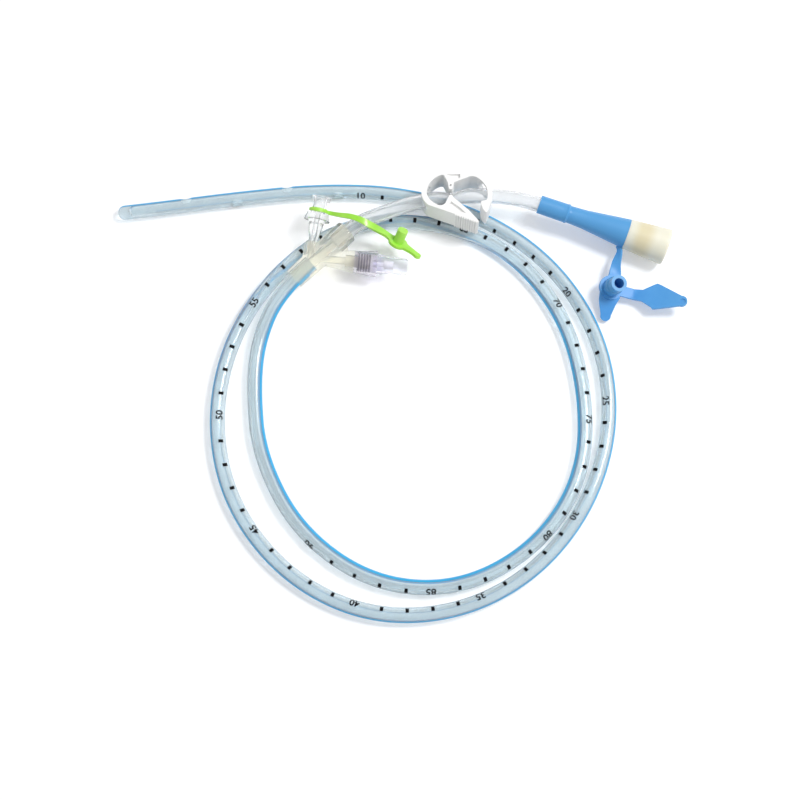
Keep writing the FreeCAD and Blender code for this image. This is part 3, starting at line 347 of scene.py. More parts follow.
@dataclass(frozen=True)
class TubeWall:
    """The soft clear tube wall, with the blue line that runs opposite the print."""

    name: str = "clear_striped_tube"
    slot: str = "clear_tube"
    colour: tuple[float, float, float] = (0.845, 0.93, 0.962)
    stripe: tuple[float, float, float] = (0.0, 0.35, 0.72)
    stripe_second: tuple[float, float, float] = (0.01, 0.44, 0.80)
    shadow_tint: tuple[float, float, float] = (0.88, 0.96, 1.0)
    clear: float = 0.74
    roughness: float = 0.12
    stripe_half: float = 1.15 * MM
    passes: float = 0.6
    radius: float = 3.0 * MM
    striped: bool = True
    cloud_scale: float = 90.0
    cloud_tones: tuple[float, float] = (0.3, 0.7)
    lighter: float = 1.03
    uneven: float = 0.04
    index: float = 1.45
    stripe_blur: tuple[float, float] = (0.08 * MM, 0.06 * MM)
    stripe_roughness: float = 0.3
    cut_roughness: float = 0.5

    def material(self) -> bpy.types.Material:
        """Build the wall's finish.

        Returns:
            A clear material, with the blue line and the pale cut edges of the eyes if striped.
        """
        tree = ShaderTree(self.name)
        slow = tree.noise(self.cloud_scale, 3.0)
        body = tree.surface(
            Base_Color=tree.mix(slow.rise(*self.cloud_tones), self.colour,
                                tuple(min(1.0, c * self.lighter) for c in self.colour)),
            Roughness=slow * self.uneven + (self.roughness - self.uneven / 2),
            Transmission_Weight=self.clear, IOR=self.index)
        body = tree.lit_through(body, self.shadow_tint, self.passes)
        if not self.striped:
            return tree.finish(body)
        along, around, _ = tree.axes(tree.node("ShaderNodeUVMap", {"uv_map": "wall"}).outputs[0])
        from_stripe = abs(around - 0.5) * (2 * math.pi * self.radius)
        inked = 1 - from_stripe.rise(self.stripe_half - self.stripe_blur[0],
                                     self.stripe_half + self.stripe_blur[1])
        line = tree.surface(Base_Color=tree.mix(slow, self.stripe, self.stripe_second),
                            Roughness=self.stripe_roughness)
        cut = tree.surface(Base_Color=self.colour, Roughness=self.cut_roughness)
        at_cut = 1 - along.rise(CUT_EDGE + 1.0, CUT_EDGE + 2.0)
        return tree.finish(tree.blend(at_cut, tree.blend(inked, body, line), cut))


class Finish(Enum):
    """Every finish of the part."""

    TUBE = TubeWall()
    DRAIN = TubeWall("clear_plain_tube", "clear_soft", (0.94, 0.95, 0.96), clear=0.84,
                     roughness=0.16, striped=False)
    INK = Plastic("black_print", "clear_tube", (0.003, 0.003, 0.004), (0.006, 0.006, 0.007),
                  roughness=0.6, index=1.2)
    CREAM = Plastic("cream_soft_moulding", "cream_moulding", (0.97, 0.955, 0.87),
                    (0.985, 0.975, 0.91), clear=0.86, roughness=0.15, soft=0.3, gloss=0.7,
                    index=1.13, passes=0.75)
    HUB = Plastic("clear_hub_moulding", "clear_rigid", (0.92, 0.90, 0.84), (0.94, 0.93, 0.88),
                  roughness=0.2, soft=0.2, alpha=0.6, passes=0.6)
    RIGID = Plastic("clear_rigid_moulding", "clear_rigid", (0.97, 0.975, 0.98),
                    (0.99, 0.99, 0.99), clear=0.95, roughness=0.06, index=1.45, passes=0.6)
    LIME = Plastic("lime_moulding", "lime", (0.36, 0.80, 0.06), (0.46, 0.86, 0.12),
                   roughness=0.3, soft=0.25, gloss=0.15)
    SMOKE = Plastic("smoky_rigid_moulding", "smoky_rigid", (0.84, 0.82, 0.87),
                    (0.88, 0.86, 0.91), clear=0.94, roughness=0.08, index=1.4, passes=0.5)
    THREAD = Plastic("smoky_thread", "smoky_rigid", (0.20, 0.19, 0.23), (0.28, 0.26, 0.32),
                     roughness=0.2, gloss=0.3, alpha=0.7)
    VIOLET = Plastic("violet_clear_moulding", "violet_clear", (0.89, 0.88, 0.98),
                     (0.93, 0.92, 0.99), clear=0.96, roughness=0.04, index=1.3, passes=0.75,
                     fade=Fade(BRANCH_FACE, BRANCH_HEADING, 10.4, 12.2, (0.95, 0.95, 0.99)))
    WHITE = Plastic("white_moulding", "white_moulding", (0.83, 0.84, 0.85),
                    (0.86, 0.865, 0.87), roughness=0.34, soft=0.8, alpha=0.78, passes=0.95)
    VALVE = Plastic("milky_soft_moulding", "white_moulding", (0.93, 0.93, 0.94),
                    (0.96, 0.96, 0.96), clear=0.1, roughness=0.3, soft=0.3, passes=0.6)
    # The funnel's fade along Z is painted shade: darker on its lower side below 3 mm, lighter
    # from 12 mm up.
    SKY = Plastic("sky_blue_soft_moulding", "sky_blue", (0.06, 0.30, 0.70),
                  (0.08, 0.34, 0.74), roughness=0.42, soft=0.12,
                  fade=Fade((0.0, 0.0, 0.0), (0.0, 0.0, 1.0), 3.0, 12.0, (0.09, 0.34, 0.68)))
    # The tan band from 39 to 50 mm along the funnel is painted shade: the mouth's hollow seen
    # darker through its wall.
    IVORY = Plastic("ivory_moulding", "ivory", (0.82, 0.80, 0.67), (0.86, 0.84, 0.72),
                    roughness=0.4, soft=0.4, alpha=0.96, passes=0.3,
                    fade=Fade(FUNNEL_FACE, FUNNEL_HEADING, 39.0, 43.0, (0.76, 0.69, 0.48),
                              (45.0, 50.0)))

    def material(self) -> bpy.types.Material:
        """Return the finish's material, which is built once."""
        return bpy.data.materials.get(self.value.name) or self.value.material()

    def dress(self, *pieces: bpy.types.Object) -> None:
        """Give pieces this finish.

        Args:
            pieces: the objects that wear it.
        """
        for piece in pieces:
            piece.data.materials.clear()
            piece.data.materials.append(self.material())


# Meshes

def new_piece(name: str, mesh: bmesh.types.BMesh, smooth_below: float = 35.0) -> bpy.types.Object:
    """Turn a bmesh into an object at the origin.

    Args:
        name: the piece's name.
        mesh: the shape, which is freed.
        smooth_below: edges that fold by less than this many degrees shade smoothly.

    Returns:
        The object, linked to the scene.
    """
    for face in mesh.faces:
        face.smooth = True
    for edge in mesh.edges:
        edge.smooth = (len(edge.link_faces) == 2
                       and edge.calc_face_angle(0.0) < math.radians(smooth_below))
    data = bpy.data.meshes.new(name)
    mesh.to_mesh(data)
    mesh.free()
    piece = bpy.data.objects.new(name, data)
    bpy.context.scene.collection.objects.link(piece)
    return piece


def smooth_copy(name: str, node: str) -> bpy.types.Object:
    """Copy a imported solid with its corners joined, so that it shades smoothly.

    Args:
        name: the piece's name.
        node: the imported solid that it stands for.

    Returns:
        The piece, riding on the part.
    """
    mesh = bmesh.new()
    mesh.from_mesh(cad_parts[node].data)
    bmesh.ops.remove_doubles(mesh, verts=mesh.verts, dist=0.00001)
    bmesh.ops.dissolve_degenerate(mesh, edges=mesh.edges, dist=0.000004)
    for layer in list(mesh.loops.layers.uv):
        mesh.loops.layers.uv.remove(layer)
    piece = new_piece(name, mesh)
    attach(piece, "root")
    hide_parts(node)
    return piece


class Centreline:
    """A smooth line through a route, read from its own NURBS spline."""

    def __init__(self, name: str, route: Sequence[tuple[float, float, float]]) -> None:
        """Read the line of a route.

        Args:
            name: a name for the curve.
            route: the route's points in millimetres.
        """
        data = bpy.data.curves.new(name, "CURVE")
        data.dimensions = "3D"
        data.resolution_u = 22
        spline = data.splines.new("NURBS")
        spline.points.add(len(route) - 1)
        for point, place in zip(spline.points, route):
            point.co = (*(value * MM for value in place), 1.0)
        spline.order_u = 3
        spline.use_endpoint_u = True
        holder = bpy.data.objects.new(name, data)
        line = bpy.data.meshes.new_from_object(holder)
        self.points = [vertex.co.copy() for vertex in line.vertices]
        bpy.data.meshes.remove(line)
        bpy.data.curves.remove(data)
        self.along = [0.0]
        for before, after in zip(self.points, self.points[1:]):
            self.along.append(self.along[-1] + (after - before).length)

    @property
    def length(self) -> float:
        """The line's length."""
        return self.along[-1]

    def heading(self, index: int) -> Vector:
        """Return the direction of travel at one of the line's points."""
        before = self.points[max(index - 1, 0)]
        after = self.points[min(index + 1, len(self.points) - 1)]
        return (after - before).normalized()

    def stand(self, distance: float, angle: float) -> tuple[Vector, Vector, Vector, Vector]:
        """Stand at a distance along the line, looking out at an angle.

        Args:
            distance: metres from the line's start.
            angle: radians from straight up, to the right of the travel.

        Returns:
            The place, the heading, the outward direction and the one round from it.
        """
        index = min(max(bisect_left(self.along, distance), 1), len(self.along) - 1)
        share = (distance - self.along[index - 1]) / (self.along[index] - self.along[index - 1])
        place = self.points[index - 1].lerp(self.points[index], share)
        heading = self.heading(index - 1).lerp(self.heading(index), min(max(share, 0.0), 1.0))
        return (place, heading.normalized(), *across(heading, angle))


def across(heading: Vector, angle: float) -> tuple[Vector, Vector]:
    """Look out from a line at an angle.

    Args:
        heading: the line's direction.
        angle: radians from straight up, to the right of the travel.

    Returns:
        The outward direction and the one round from it.
    """
    right = heading.cross(UP).normalized()
    upward = right.cross(heading).normalized()
    outward = upward * math.cos(angle) + right * math.sin(angle)
    return outward, right * math.cos(angle) - upward * math.sin(angle)


def twist_at(distance: float) -> float:
    """Read the print's angle from its table.

    Args:
        distance: metres from the tip.

    Returns:
        The angle in radians from straight up.
    """
    centimetres = distance * 100
    for (low, start), (high, end) in zip(PRINT_TWIST, PRINT_TWIST[1:]):
        if centimetres <= high:
            share = max((centimetres - low) / (high - low), 0.0)
            return math.radians(start + (end - start) * share)
    return math.radians(PRINT_TWIST[-1][1])


@dataclass(frozen=True)
class Bore:
    """A round passage inside a tube wall."""

    radius: float
    offset: float = 0.0
    turn: float = 0.0
    sides: int = 20
    start: float = 0.0


class WallMesh:
    """A tube wall swept along a centreline, with its bores."""

    tip_steps: int = 8
    bore_end: float = 0.8
    inlay_steps: int = 4

    def __init__(self, line: Centreline, radius: float, bores: Sequence[Bore],
                 twist: Callable[[float], float], sides: int = 40,
                 press: Callable[[Vector, Vector], Vector] | None = None) -> None:
        """Sweep the wall.

        Args:
            line: the centreline.
            radius: the outside radius.
            bores: its passages.
            twist: gives the wall's turn at a distance from the line's start.
            sides: faces round the outside.
            press: moves a corner, given the centre of its ring and its place.
        """
        self.line, self.radius, self.bores, self.twist = line, radius, bores, twist
        self.sides = sides
        self.press = press or (lambda place, corner: corner)
        self.mesh = bmesh.new()
        self.uv = self.mesh.loops.layers.uv.new("wall")

    def ring(self, place: Vector, heading: Vector, turn: float, radius: float,
             sides: int) -> list[bmesh.types.BMVert]:
        """Add one ring of corners.

        Args:
            place: its centre.
            heading: the direction that it faces.
            turn: the angle of its first corner.
            radius: its radius.
            sides: how many corners it has.

        Returns:
            The corners in order.
        """
        return [self.mesh.verts.new(self.press(place, place + across(
            heading, turn + 2 * math.pi * i / sides)[0] * radius)) for i in range(sides)]

    def skin(self, first: list, second: list, span: tuple[float, float], inward: bool) -> None:
        """Join two rings with faces, and lay the wall's own map on them.

        Args:
            first: the earlier ring.
            second: the later one.
            span: their distances along the line.
            inward: True for a bore, whose faces look at its axis.
        """
        sides = len(first)
        for i in range(sides):
            j = (i + 1) % sides
            corners = [(first[i], 0, i), (first[j], 0, i + 1), (second[j], 1, i + 1),
                       (second[i], 1, i)]
            if not inward:
                corners.reverse()
            face = self.mesh.faces.new([corner[0] for corner in corners])
            for loop, (_, end, step) in zip(face.loops, corners):
                loop[self.uv].uv = (span[end], step / sides)

    def round_tip(self, first: list) -> None:
        """Close the outside with a half ball.

        Args:
            first: the wall's first ring.
        """
        place, heading, after = self.line.points[0], self.line.heading(0), first
        for step in range(1, self.tip_steps):
            lean = math.pi / 2 * step / self.tip_steps
            before = self.ring(place - heading * self.radius * math.sin(lean), heading,
                               self.twist(0.0), self.radius * math.cos(lean), self.sides)
            self.skin(before, after, (-self.radius * math.sin(lean), 0.0), False)
            after = before
        pole = self.mesh.verts.new(place - heading * self.radius)
        self.fan(pole, after, False)

    def fan(self, pole: bmesh.types.BMVert, ring: list, inward: bool) -> None:
        """Close a ring on a pole.

        Args:
            pole: the corner in its middle.
            ring: its corners.
            inward: True for the end of a bore.
        """
        sides = len(ring)
        for i in range(sides):
            corners = [pole, ring[(i + 1) % sides], ring[i]]
            if inward:
                corners.reverse()
            face = self.mesh.faces.new(corners)
            for loop in face.loops:
                loop[self.uv].uv = (0.0, (i + 0.5) / sides)

    def passage(self, bore: Bore) -> tuple[list, list]:
        """Sweep one bore.

        Args:
            bore: the passage.

        Returns:
            Its first and last rings.
        """
        rings = []
        for index, place in enumerate(self.line.points):
            distance = self.line.along[index]
            if distance < bore.start - 1e-9:
                continue
            heading = self.line.heading(index)
            turn = self.twist(distance)
            centre = place + across(heading, turn + bore.turn)[0] * bore.offset
            rings.append((distance, self.ring(centre, heading, turn, bore.radius, bore.sides)))
        for (low, before), (high, after) in zip(rings, rings[1:]):
            self.skin(before, after, (low, high), True)
        if bore.start > 0:
            distance, first = rings[0]
            middle = sum((v.co for v in first), Vector()) / len(first)
            pole = self.mesh.verts.new(middle - self.line.heading(0) * bore.radius
                                        * self.bore_end)
            self.fan(pole, first, True)
        return rings[0][1], rings[-1][1]

    def build(self, closed_start: bool) -> bmesh.types.BMesh:
        """Build the wall.

        Args:
            closed_start: True for a rounded closed tip, False for a cut start.

        Returns:
            The closed mesh.
        """
        rings = []
        for index, place in enumerate(self.line.points):
            distance = self.line.along[index]
            rings.append((distance, self.ring(place, self.line.heading(index),
                                              self.twist(distance), self.radius, self.sides)))
        for (low, before), (high, after) in zip(rings, rings[1:]):
            self.skin(before, after, (low, high), False)
        starts, ends = [rings[0][1]], [rings[-1][1]]
        if closed_start:
            self.round_tip(rings[0][1])
        for bore in self.bores:
            first, last = self.passage(bore)
            starts.append(first)
            ends.append(last)
        for loops in ([] if closed_start else [starts]) + [ends]:
            self.cut_end(loops)
        bmesh.ops.recalc_face_normals(self.mesh, faces=self.mesh.faces)
        return self.mesh

    def inlay(self, low: float, high: float, turn: float, half: float) -> None:
        """Sweep a closed strip inside the wall, mapped as the middle of the blue line.

        Args:
            low: its distance from the centreline on the bore's side.
            high: its distance on the outside.
            turn: its angle from the print.
            half: half of the angle that it spans.
        """
        rings, steps = [], self.inlay_steps
        for index, place in enumerate(self.line.points[1:-1], 1):
            angle = self.twist(self.line.along[index]) + turn
            heading = self.line.heading(index)
            out = [(high, half * (2 * i / steps - 1)) for i in range(steps + 1)]
            out += [(low, half * (1 - 2 * i / steps)) for i in range(steps + 1)]
            rings.append([self.mesh.verts.new(place + across(heading, angle + lean)[0] * reach)
                          for reach, lean in out])
        faces = [self.mesh.faces.new(reversed(rings[0])), self.mesh.faces.new(rings[-1])]
        for before, after in zip(rings, rings[1:]):
            faces += [self.mesh.faces.new((before[i - 1], before[i], after[i], after[i - 1]))
                      for i in range(len(before))]
        for face in faces:
            for loop in face.loops:
                loop[self.uv].uv = (0.0, 0.5)

    def cut_end(self, loops: list[list]) -> None:
        """Fill the flat face of a cut end.

        Args:
            loops: the last rings of its outside and its bores.
        """
        edges = [self.mesh.edges.get((ring[i], ring[(i + 1) % len(ring)]))
                 for ring in loops for i in range(len(ring))]
        bmesh.ops.triangle_fill(self.mesh, edges=edges, use_beauty=True)


def evaluated(piece: bpy.types.Object) -> bpy.types.Mesh:
    """Return a mesh of an object with its modifiers applied."""
    return bpy.data.meshes.new_from_object(
        piece.evaluated_get(bpy.context.evaluated_depsgraph_get()))


def discard(*pieces: bpy.types.Object) -> None:
    """Remove helper objects and their meshes."""
    for piece in pieces:
        data = piece.data
        bpy.data.objects.remove(piece)
        bpy.data.meshes.remove(data)


class Scatter:
    """A Geometry Nodes tree that sets one small shape on every point of a mesh."""

    def __init__(self, name: str) -> None:
        """Build the tree: points in, shapes out, each turned by its point's two directions."""
        self.tree = bpy.data.node_groups.new(name, "GeometryNodeTree")
        sockets = self.tree.interface
        sockets.new_socket(name="Points", in_out="INPUT", socket_type="NodeSocketGeometry")
        self.shape = sockets.new_socket(name="Shape", in_out="INPUT",
                                        socket_type="NodeSocketObject").identifier
        self.material = sockets.new_socket(name="Material", in_out="INPUT",
                                           socket_type="NodeSocketMaterial").identifier
        sockets.new_socket(name="Shapes", in_out="OUTPUT", socket_type="NodeSocketGeometry")
        given = self.tree.nodes.new("NodeGroupInput").outputs
        shape = self.node("GeometryNodeObjectInfo", {"transform_space": "ORIGINAL"},
                          {"Object": given["Shape"], "As Instance": True})
        ways = [self.node("GeometryNodeInputNamedAttribute", {"data_type": "FLOAT_VECTOR"},
                          {"Name": label}).outputs[0] for label in ("outward", "heading")]
        turn = self.node("FunctionNodeAxesToRotation",
                         {"primary_axis": "Z", "secondary_axis": "X"}, {0: ways[0], 1: ways[1]})
        placed = self.node("GeometryNodeInstanceOnPoints", {}, {
            "Points": given["Points"], "Instance": shape.outputs["Geometry"],
            "Rotation": turn.outputs[0]})
        solid = self.node("GeometryNodeRealizeInstances", {}, {0: placed.outputs[0]})
        painted = self.node("GeometryNodeSetMaterial", {}, {
            "Geometry": solid.outputs[0], "Material": given["Material"]})
        self.node("NodeGroupOutput", {}, {0: painted.outputs[0]})

    def node(self, kind: str, settings: dict, inputs: dict) -> bpy.types.Node:
        """Add a node, with its settings first and then a value or a link for each socket."""
        made = self.tree.nodes.new(kind)
        for key, value in settings.items():
            setattr(made, key, value)
        for key, value in inputs.items():
            if isinstance(value, bpy.types.NodeSocket):
                self.tree.links.new(value, made.inputs[key])
            else:
                made.inputs[key].default_value = value
        return made

    def spread(self, name: str, shape: bpy.types.Object,
               stands: Sequence[tuple[Vector, Vector, Vector]],
               finish: Finish) -> bpy.types.Object:
        """Set a shape on each stand.

        Args:
            name: the new piece's name.
            shape: the shape, with Z outward and X along the heading. It is removed.
            stands: the place, heading and outward direction of each copy.
            finish: what the copies wear.

        Returns:
            One piece that holds every copy.
        """
        data = bpy.data.meshes.new(f"{name}_points")
        data.from_pydata([place for place, _, _ in stands], [], [])
        for label, column in (("heading", 1), ("outward", 2)):
            layer = data.attributes.new(label, "FLOAT_VECTOR", "POINT")
            layer.data.foreach_set("vector", [part for stand in stands for part in stand[column]])
        holder = bpy.data.objects.new(f"{name}_points", data)
        bpy.context.scene.collection.objects.link(holder)
        modifier = holder.modifiers.new("scatter", "NODES")
        modifier.node_group = self.tree
        modifier[self.shape] = shape
        modifier[self.material] = finish.material()
        mesh = evaluated(holder)
        discard(holder, shape)
        piece = bpy.data.objects.new(name, mesh)
        bpy.context.scene.collection.objects.link(piece)
        finish.dress(piece)
        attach(piece, "root")
        return piece


def curved_plate(long: float, wide: float, radius: float, raised: float) -> bpy.types.Object:
    """Make a small closed plate that hugs a tube, with Z outward and X along the tube.

    Args:
        long: its length along the tube.
        wide: its width round the tube.
        radius: the tube's radius.
        raised: how far it stands out of the wall, and how deep it is set in.

    Returns:
        The plate.
    """
    mesh, steps = bmesh.new(), 8
    rows = []
    for step in range(steps + 1):
        angle = (step / steps - 0.5) * wide / radius
        rows.append([mesh.verts.new((x, math.sin(angle) * out, math.cos(angle) * out - radius))
                     for x, out in ((-long / 2, radius - raised), (long / 2, radius - raised),
                                    (long / 2, radius + raised), (-long / 2, radius + raised))])
    for before, after in zip(rows, rows[1:]):
        for i in range(4):
            j = (i + 1) % 4
            mesh.faces.new((before[i], before[j], after[j], after[i]))
    mesh.faces.new(rows[0])
    mesh.faces.new(reversed(rows[-1]))
    bmesh.ops.recalc_face_normals(mesh, faces=mesh.faces)
    return new_piece("plate", mesh)


def thread_turn(radius: float, depth: float, half: float) -> bpy.types.Object:
    """Make one closed ring of a thread that points inward, about the X axis.

    Args:
        radius: its outside radius.
        depth: how far it reaches inward.
        half: half of its width at the outside.

    Returns:
        The ring.
    """
    mesh, sides = bmesh.new(), 48
    rings = [[mesh.verts.new((x, math.cos(2 * math.pi * i / sides) * out,
                              math.sin(2 * math.pi * i / sides) * out)) for i in range(sides)]
             for x, out in ((-half, radius), (0.0, radius - depth), (half, radius))]
    for ring, after in zip(rings, rings[1:] + rings[:1]):
        for i in range(sides):
            j = (i + 1) % sides
            mesh.faces.new((ring[i], ring[j], after[j], after[i]))
    bmesh.ops.recalc_face_normals(mesh, faces=mesh.faces)
    return new_piece("thread_turn", mesh)


def lettering(words: str, size: float, thick: float, slice_every: float) -> bmesh.types.BMesh:
    """Make closed letters, cut into narrow bands that can bend, centred on the origin.

    Args:
        words: what they say.
        size: the font's size.
        thick: how thick the letters are.
        slice_every: the height of one band.

    Returns:
        The letters, X along the words and Y up them.
    """
    data = bpy.data.curves.new(words, "FONT")
    data.body, data.size, data.extrude, data.offset = words, size, thick / 2, size * 0.02
    data.align_x, data.align_y, data.resolution_u = "CENTER", "CENTER", 3
    holder = bpy.data.objects.new(words, data)
    flat = bpy.data.meshes.new_from_object(holder)
    mesh = bmesh.new()
    mesh.from_mesh(flat)
    bpy.data.meshes.remove(flat)
    bpy.data.curves.remove(data)
    bmesh.ops.remove_doubles(mesh, verts=mesh.verts, dist=size * 0.0005)
    bands = int(size / slice_every)
    for band in range(-bands, bands + 1):
        bmesh.ops.bisect_plane(mesh, geom=mesh.verts[:] + mesh.edges[:] + mesh.faces[:],
                               plane_co=(0.0, band * slice_every, 0.0), plane_no=(0.0, 1.0, 0.0))
    bmesh.ops.triangulate(mesh, faces=mesh.faces)
    return mesh


@dataclass
class MainTube:
    """The long two-bore tube: wall, side eyes, blue line, centimetre marks and numbers."""

    radius: float = 3.0 * MM
    bore: Bore = field(default_factory=lambda: Bore(1.8 * MM, 0.42 * MM, math.radians(110),
                                                    32, 2.0 * MM))
    vent: Bore = field(default_factory=lambda: Bore(0.45 * MM, 2.05 * MM, math.radians(-70),
                                                    8, 12.0 * MM))
    eye_first: float = 25.5 * MM
    eye_pitch: float = 21.0 * MM
    eye_long: float = 4.6 * MM
    eye_wide: float = 3.1 * MM
    eyes: int = 4
    eye_sides: int = 32
    eye_reach: tuple[float, float] = (0.25, 1.4)
    stripe_depth: float = 2.3 * MM
    stripe_cover: float = 0.06 * MM
    stripe_span: float = math.radians(21)
    line_swing: float = math.radians(111)
    line_lean: float = math.radians(17)
    line_ease: float = math.radians(10)
    eye_angles: tuple[float, float] = (-64.0, 94.0)
    first_mark: int = 11
    last_mark: int = 89
    number_every: int = 5
    mark_long: float = 1.3 * MM
    mark_wide: float = 2.05 * MM
    ink: float = 0.03 * MM
    figure: float = 4.0
    figure_past: float = 0.8 * MM
    figure_band: float = 0.4

    def build(self) -> None:
        """Build the tube and its print."""
        self.line = Centreline("main_route", MAIN_ROUTE)
        wall = WallMesh(self.line, self.radius, (self.bore, self.vent), self.line_turn)
        wall.inlay(self.stripe_depth, self.radius - self.stripe_cover, math.pi,
                   self.stripe_span)
        tube = new_piece("main_tube_wall", wall.build(True), 60.0)
        self.punch(tube)
        Finish.TUBE.dress(tube)
        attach(tube, "root")
        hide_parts("main_tube")
        LOG.info("main tube %.1f mm long", self.line.length * 1000)
        self.marks()
        self.figures()

    def turn_at(self, distance: float) -> float:
        """Return the print's angle at metres from the centre of the rounded tip."""
        return twist_at(distance + self.radius)

    def line_turn(self, distance: float) -> float:
        """Turn the wall so that the blue line lies on the tube's edge, away from the print.

        Args:
            distance: metres from the line's start.

        Returns:
            The wall's turn in radians.
        """
        side = math.tanh(self.turn_at(distance) / self.line_ease)
        right = self.line.stand(distance, math.pi / 2)[2]
        return side * (self.line_swing - self.line_lean * right.y * side)

    def punch(self, tube: bpy.types.Object) -> None:
        """Cut the side eyes through the wall into the main bore.

        Args:
            tube: the wall, whose mesh is replaced.
        """
        mesh, sides = bmesh.new(), self.eye_sides
        for index in range(self.eyes):
            place, heading, outward, around = self.line.stand(
                self.eye_first + index * self.eye_pitch,
                math.radians(self.eye_angles[index % 2]))
            rings = [[mesh.verts.new(place + outward * reach
                                     + heading * self.eye_long / 2 * math.cos(turn)
                                     + around * self.eye_wide / 2 * math.sin(turn))
                      for turn in (2 * math.pi * i / sides for i in range(sides))]
                     for reach in (self.radius * share for share in self.eye_reach)]
            mesh.faces.new(rings[0])
            mesh.faces.new(reversed(rings[1]))
            for i in range(sides):
                j = (i + 1) % sides
                mesh.faces.new((rings[0][j], rings[0][i], rings[1][i], rings[1][j]))
        bmesh.ops.recalc_face_normals(mesh, faces=mesh.faces)
        layer = mesh.loops.layers.uv.new("wall")
        for face in mesh.faces:
            for loop in face.loops:
                loop[layer].uv = (CUT_EDGE, 0.0)
        knife = new_piece("eye_cutter", mesh)
        modifier = tube.modifiers.new("eyes", "BOOLEAN")
        modifier.operation, modifier.solver, modifier.object = "DIFFERENCE", "EXACT", knife
        solid, cut = tube.data, evaluated(tube)
        tube.modifiers.clear()
        tube.data = cut
        bpy.data.meshes.remove(solid)
        discard(knife)

    def at_centimetre(self, centimetre: float, past: float = 0.0,
                      lift: float = 0.0) -> tuple[Vector, Vector, Vector, Vector]:
        """Stand on the print line.

        Args:
            centimetre: the depth from the end of the tip.
            past: metres further along.
            lift: radians round from the line.

        Returns:
            The place, the heading, the outward direction and the one round from it.
        """
        distance = centimetre * 10 * MM - self.radius + past
        return self.line.stand(distance, self.turn_at(distance) + lift)

    def marks(self) -> None:
        """Print a short bar at each centimetre that has no number."""
        stands = []
        for centimetre in range(self.first_mark, self.last_mark + 1):
            if centimetre % self.number_every:
                place, heading, outward, _ = self.at_centimetre(centimetre)
                stands.append((place + outward * self.radius, heading, outward))
        plate = curved_plate(self.mark_long, self.mark_wide, self.radius, self.ink)
        Scatter("marks").spread("centimetre_marks", plate, stands, Finish.INK)

    def figures(self) -> None:
        """Print the depth in centimetres at every fifth mark, its letters lying on the tube."""
        printed = bpy.data.meshes.new("depth_numbers")
        whole = bmesh.new()
        for centimetre in range(self.first_mark - 1, self.last_mark + 2, self.number_every):
            letters = lettering(str(centimetre), self.figure, 2 * self.ink / MM,
                                self.figure_band)
            for corner in letters.verts:
                x, y, z = corner.co
                place, _, outward, _ = self.at_centimetre(
                    centimetre, self.figure_past + x * MM, -y * MM / self.radius)
                corner.co = place + outward * (self.radius + z * MM)
            letters.to_mesh(printed)
            letters.free()
            whole.from_mesh(printed)
        bpy.data.meshes.remove(printed)
        piece = new_piece("depth_numbers", whole)
        Finish.INK.dress(piece)
        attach(piece, "root")


@dataclass
class DrainTube:
    """The short clear tube from the manifold to the drain funnel."""

    radius: float = 3.1 * MM
    bore: Bore = field(default_factory=lambda: Bore(2.1 * MM, 0.0, 0.0, 32))
    noses: tuple[float, float] = (21.05 * MM, 80.96 * MM)
    dent_reach: float = 3.4 * MM
    squeezed: float = 0.6
    bulged: float = 0.22

    def pressed(self, place: Vector, corner: Vector) -> Vector:
        """Squeeze a corner of a ring between the clamp's noses.

        Args:
            place: the centre of the ring.
            corner: where the corner is while nothing presses it.

        Returns:
            Where it lies in the closed clamp.
        """
        share = math.exp(-((place.x - self.noses[0]) / self.dent_reach) ** 2)
        offset = corner - place
        return corner + Vector((0.0, (self.noses[1] - place.y - self.squeezed * offset.y) * share,
                                self.bulged * offset.z * share))

    def build(self) -> None:
        """Build the tube."""
        self.line = Centreline("drain_route", DRAIN_ROUTE)
        wall = WallMesh(self.line, self.radius, (self.bore,), lambda distance: 0.0,
                        press=self.pressed)
        tube = new_piece("drain_tube_wall", wall.build(False), 60.0)
        Finish.DRAIN.dress(tube)
        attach(tube, "root")
        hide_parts("drain_tube")
        LOG.info("drain tube %.1f mm long", self.line.length * 1000)


@dataclass
class Mouldings:
    """The moulded pieces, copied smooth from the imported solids."""

    finishes: dict[str, Finish] = field(default_factory=lambda: {
        "manifold": Finish.CREAM, "vent_port": Finish.RIGID, "vent_cap": Finish.LIME,
        "hub_spigot": Finish.HUB, "lock_collar": Finish.SMOKE, "port_barrel": Finish.VIOLET,
        "valve_nozzle": Finish.VALVE, "valve_sleeve": Finish.VALVE,
        "pinch_clamp": Finish.WHITE, "drain_funnel": Finish.SKY, "funnel_mouth": Finish.IVORY})
    thread_start: float = 1.9 * MM
    thread_pitch: float = 1.1 * MM
    thread_turns: int = 5
    thread_radius: float = 3.8 * MM
    thread_depth: float = 0.7 * MM
    thread_half: float = 0.3 * MM

    def build(self) -> None:
        """Copy and dress each piece."""
        for node, finish in self.finishes.items():
            piece = smooth_copy(f"{node}_moulding", node)
            finish.dress(piece)
            LOG.info("%s in %s", piece.name, finish.name)
        self.thread()

    def thread(self) -> None:
        """Turn the dark thread in the smoky collar's bore."""
        face, heading = Vector(BRANCH_FACE) * MM, Vector(BRANCH_HEADING)
        stands = [(face + heading * (self.thread_start + i * self.thread_pitch), heading,
                   heading.cross(Vector((0.0, 1.0, 0.0))).normalized())
                  for i in range(self.thread_turns)]
        ring = thread_turn(self.thread_radius, self.thread_depth, self.thread_half)
        Scatter("thread").spread("collar_thread", ring, stands, Finish.THREAD)


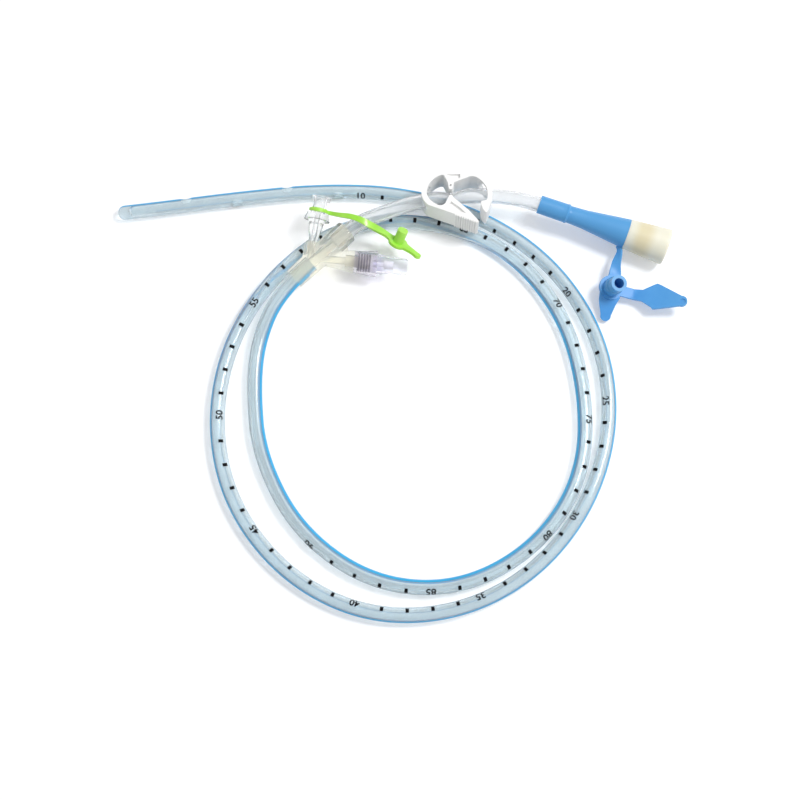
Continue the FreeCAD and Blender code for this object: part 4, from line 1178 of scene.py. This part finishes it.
@dataclass
class Studio:
    """The pale floor, the soft lamps and the camera of the photograph."""

    floor_half: float = 3.0
    floor_colour: tuple[float, float, float] = (0.88, 0.885, 0.9)
    floor_glow: tuple[float, float, float] = (0.24, 0.24, 0.24)
    lamp_power: float = 6.0
    lamp_size: float = 0.30
    lamp_away: float = 1.0
    lamp_towards: tuple[float, float, float] = (0.59, 0.22, 1.0)
    world_level: float = 0.56
    view_from: tuple[float, float, float] = (0.5 * MM, -179.7 * MM, 584.6 * MM)
    view_to: tuple[float, float, float] = (0.5 * MM, -1.6 * MM, 0.0)
    lens: float = 68.74

    def camera(self) -> None:
        """Stand the camera where the photograph was taken from."""
        data = bpy.data.cameras.new("camera")
        data.lens = self.lens
        data.sensor_width = 36.0
        data.clip_start = 0.01
        camera = bpy.data.objects.new("camera", data)
        bpy.context.scene.collection.objects.link(camera)
        place = Vector(self.view_from)
        camera.location = place
        camera.rotation_euler = (Vector(self.view_to) - place).to_track_quat("-Z", "Y").to_euler()
        bpy.context.scene.camera = camera

    def floor(self) -> None:
        """Lay the floor, which shows white to the camera and keeps the shadow."""
        mesh = bmesh.new()
        bmesh.ops.create_grid(mesh, x_segments=1, y_segments=1, size=self.floor_half)
        floor = new_piece("floor", mesh)
        tree = ShaderTree("pale_floor")
        path = tree.node("ShaderNodeLightPath")
        seen = Value(tree, path.outputs["Is Camera Ray"]).sum(
            "MAXIMUM", Value(tree, path.outputs["Is Glossy Ray"])).sum(
            "MAXIMUM", Value(tree, path.outputs["Is Transmission Ray"]))
        glow = tree.mix(seen, (0.0, 0.0, 0.0), self.floor_glow)
        floor.data.materials.append(tree.finish(tree.surface(
            Base_Color=self.floor_colour, Roughness=0.9, Specular_IOR_Level=0.0,
            Emission_Color=glow, Emission_Strength=1.0)))

    def lights(self) -> None:
        """Hang one soft lamp to the right and behind, and fill from the sky."""
        data = bpy.data.lights.new("key_lamp", "AREA")
        data.shape = "DISK"
        data.size = self.lamp_size
        data.energy = self.lamp_power
        lamp = bpy.data.objects.new("key_lamp", data)
        bpy.context.scene.collection.objects.link(lamp)
        place = Vector(self.lamp_towards).normalized() * self.lamp_away
        lamp.location = place
        lamp.rotation_euler = (-place).to_track_quat("-Z", "Y").to_euler()
        world = bpy.data.worlds.new("soft_sky")
        world.use_nodes = True
        back = world.node_tree.nodes["Background"]
        back.inputs["Color"].default_value = (1.0, 1.0, 1.0, 1.0)
        back.inputs["Strength"].default_value = self.world_level
        bpy.context.scene.world = world

    def build(self) -> None:
        """Build the studio."""
        self.camera()
        self.floor()
        self.lights()
        bpy.context.scene.view_settings.view_transform = "Standard"


def main() -> None:
    """Build the studio and every piece, in order."""
    logging.basicConfig(level=logging.INFO, format="%(message)s")
    Studio().build()
    for part in (MainTube(), DrainTube(), Mouldings()):
        part.build()


if __name__ == "__main__":
    main()
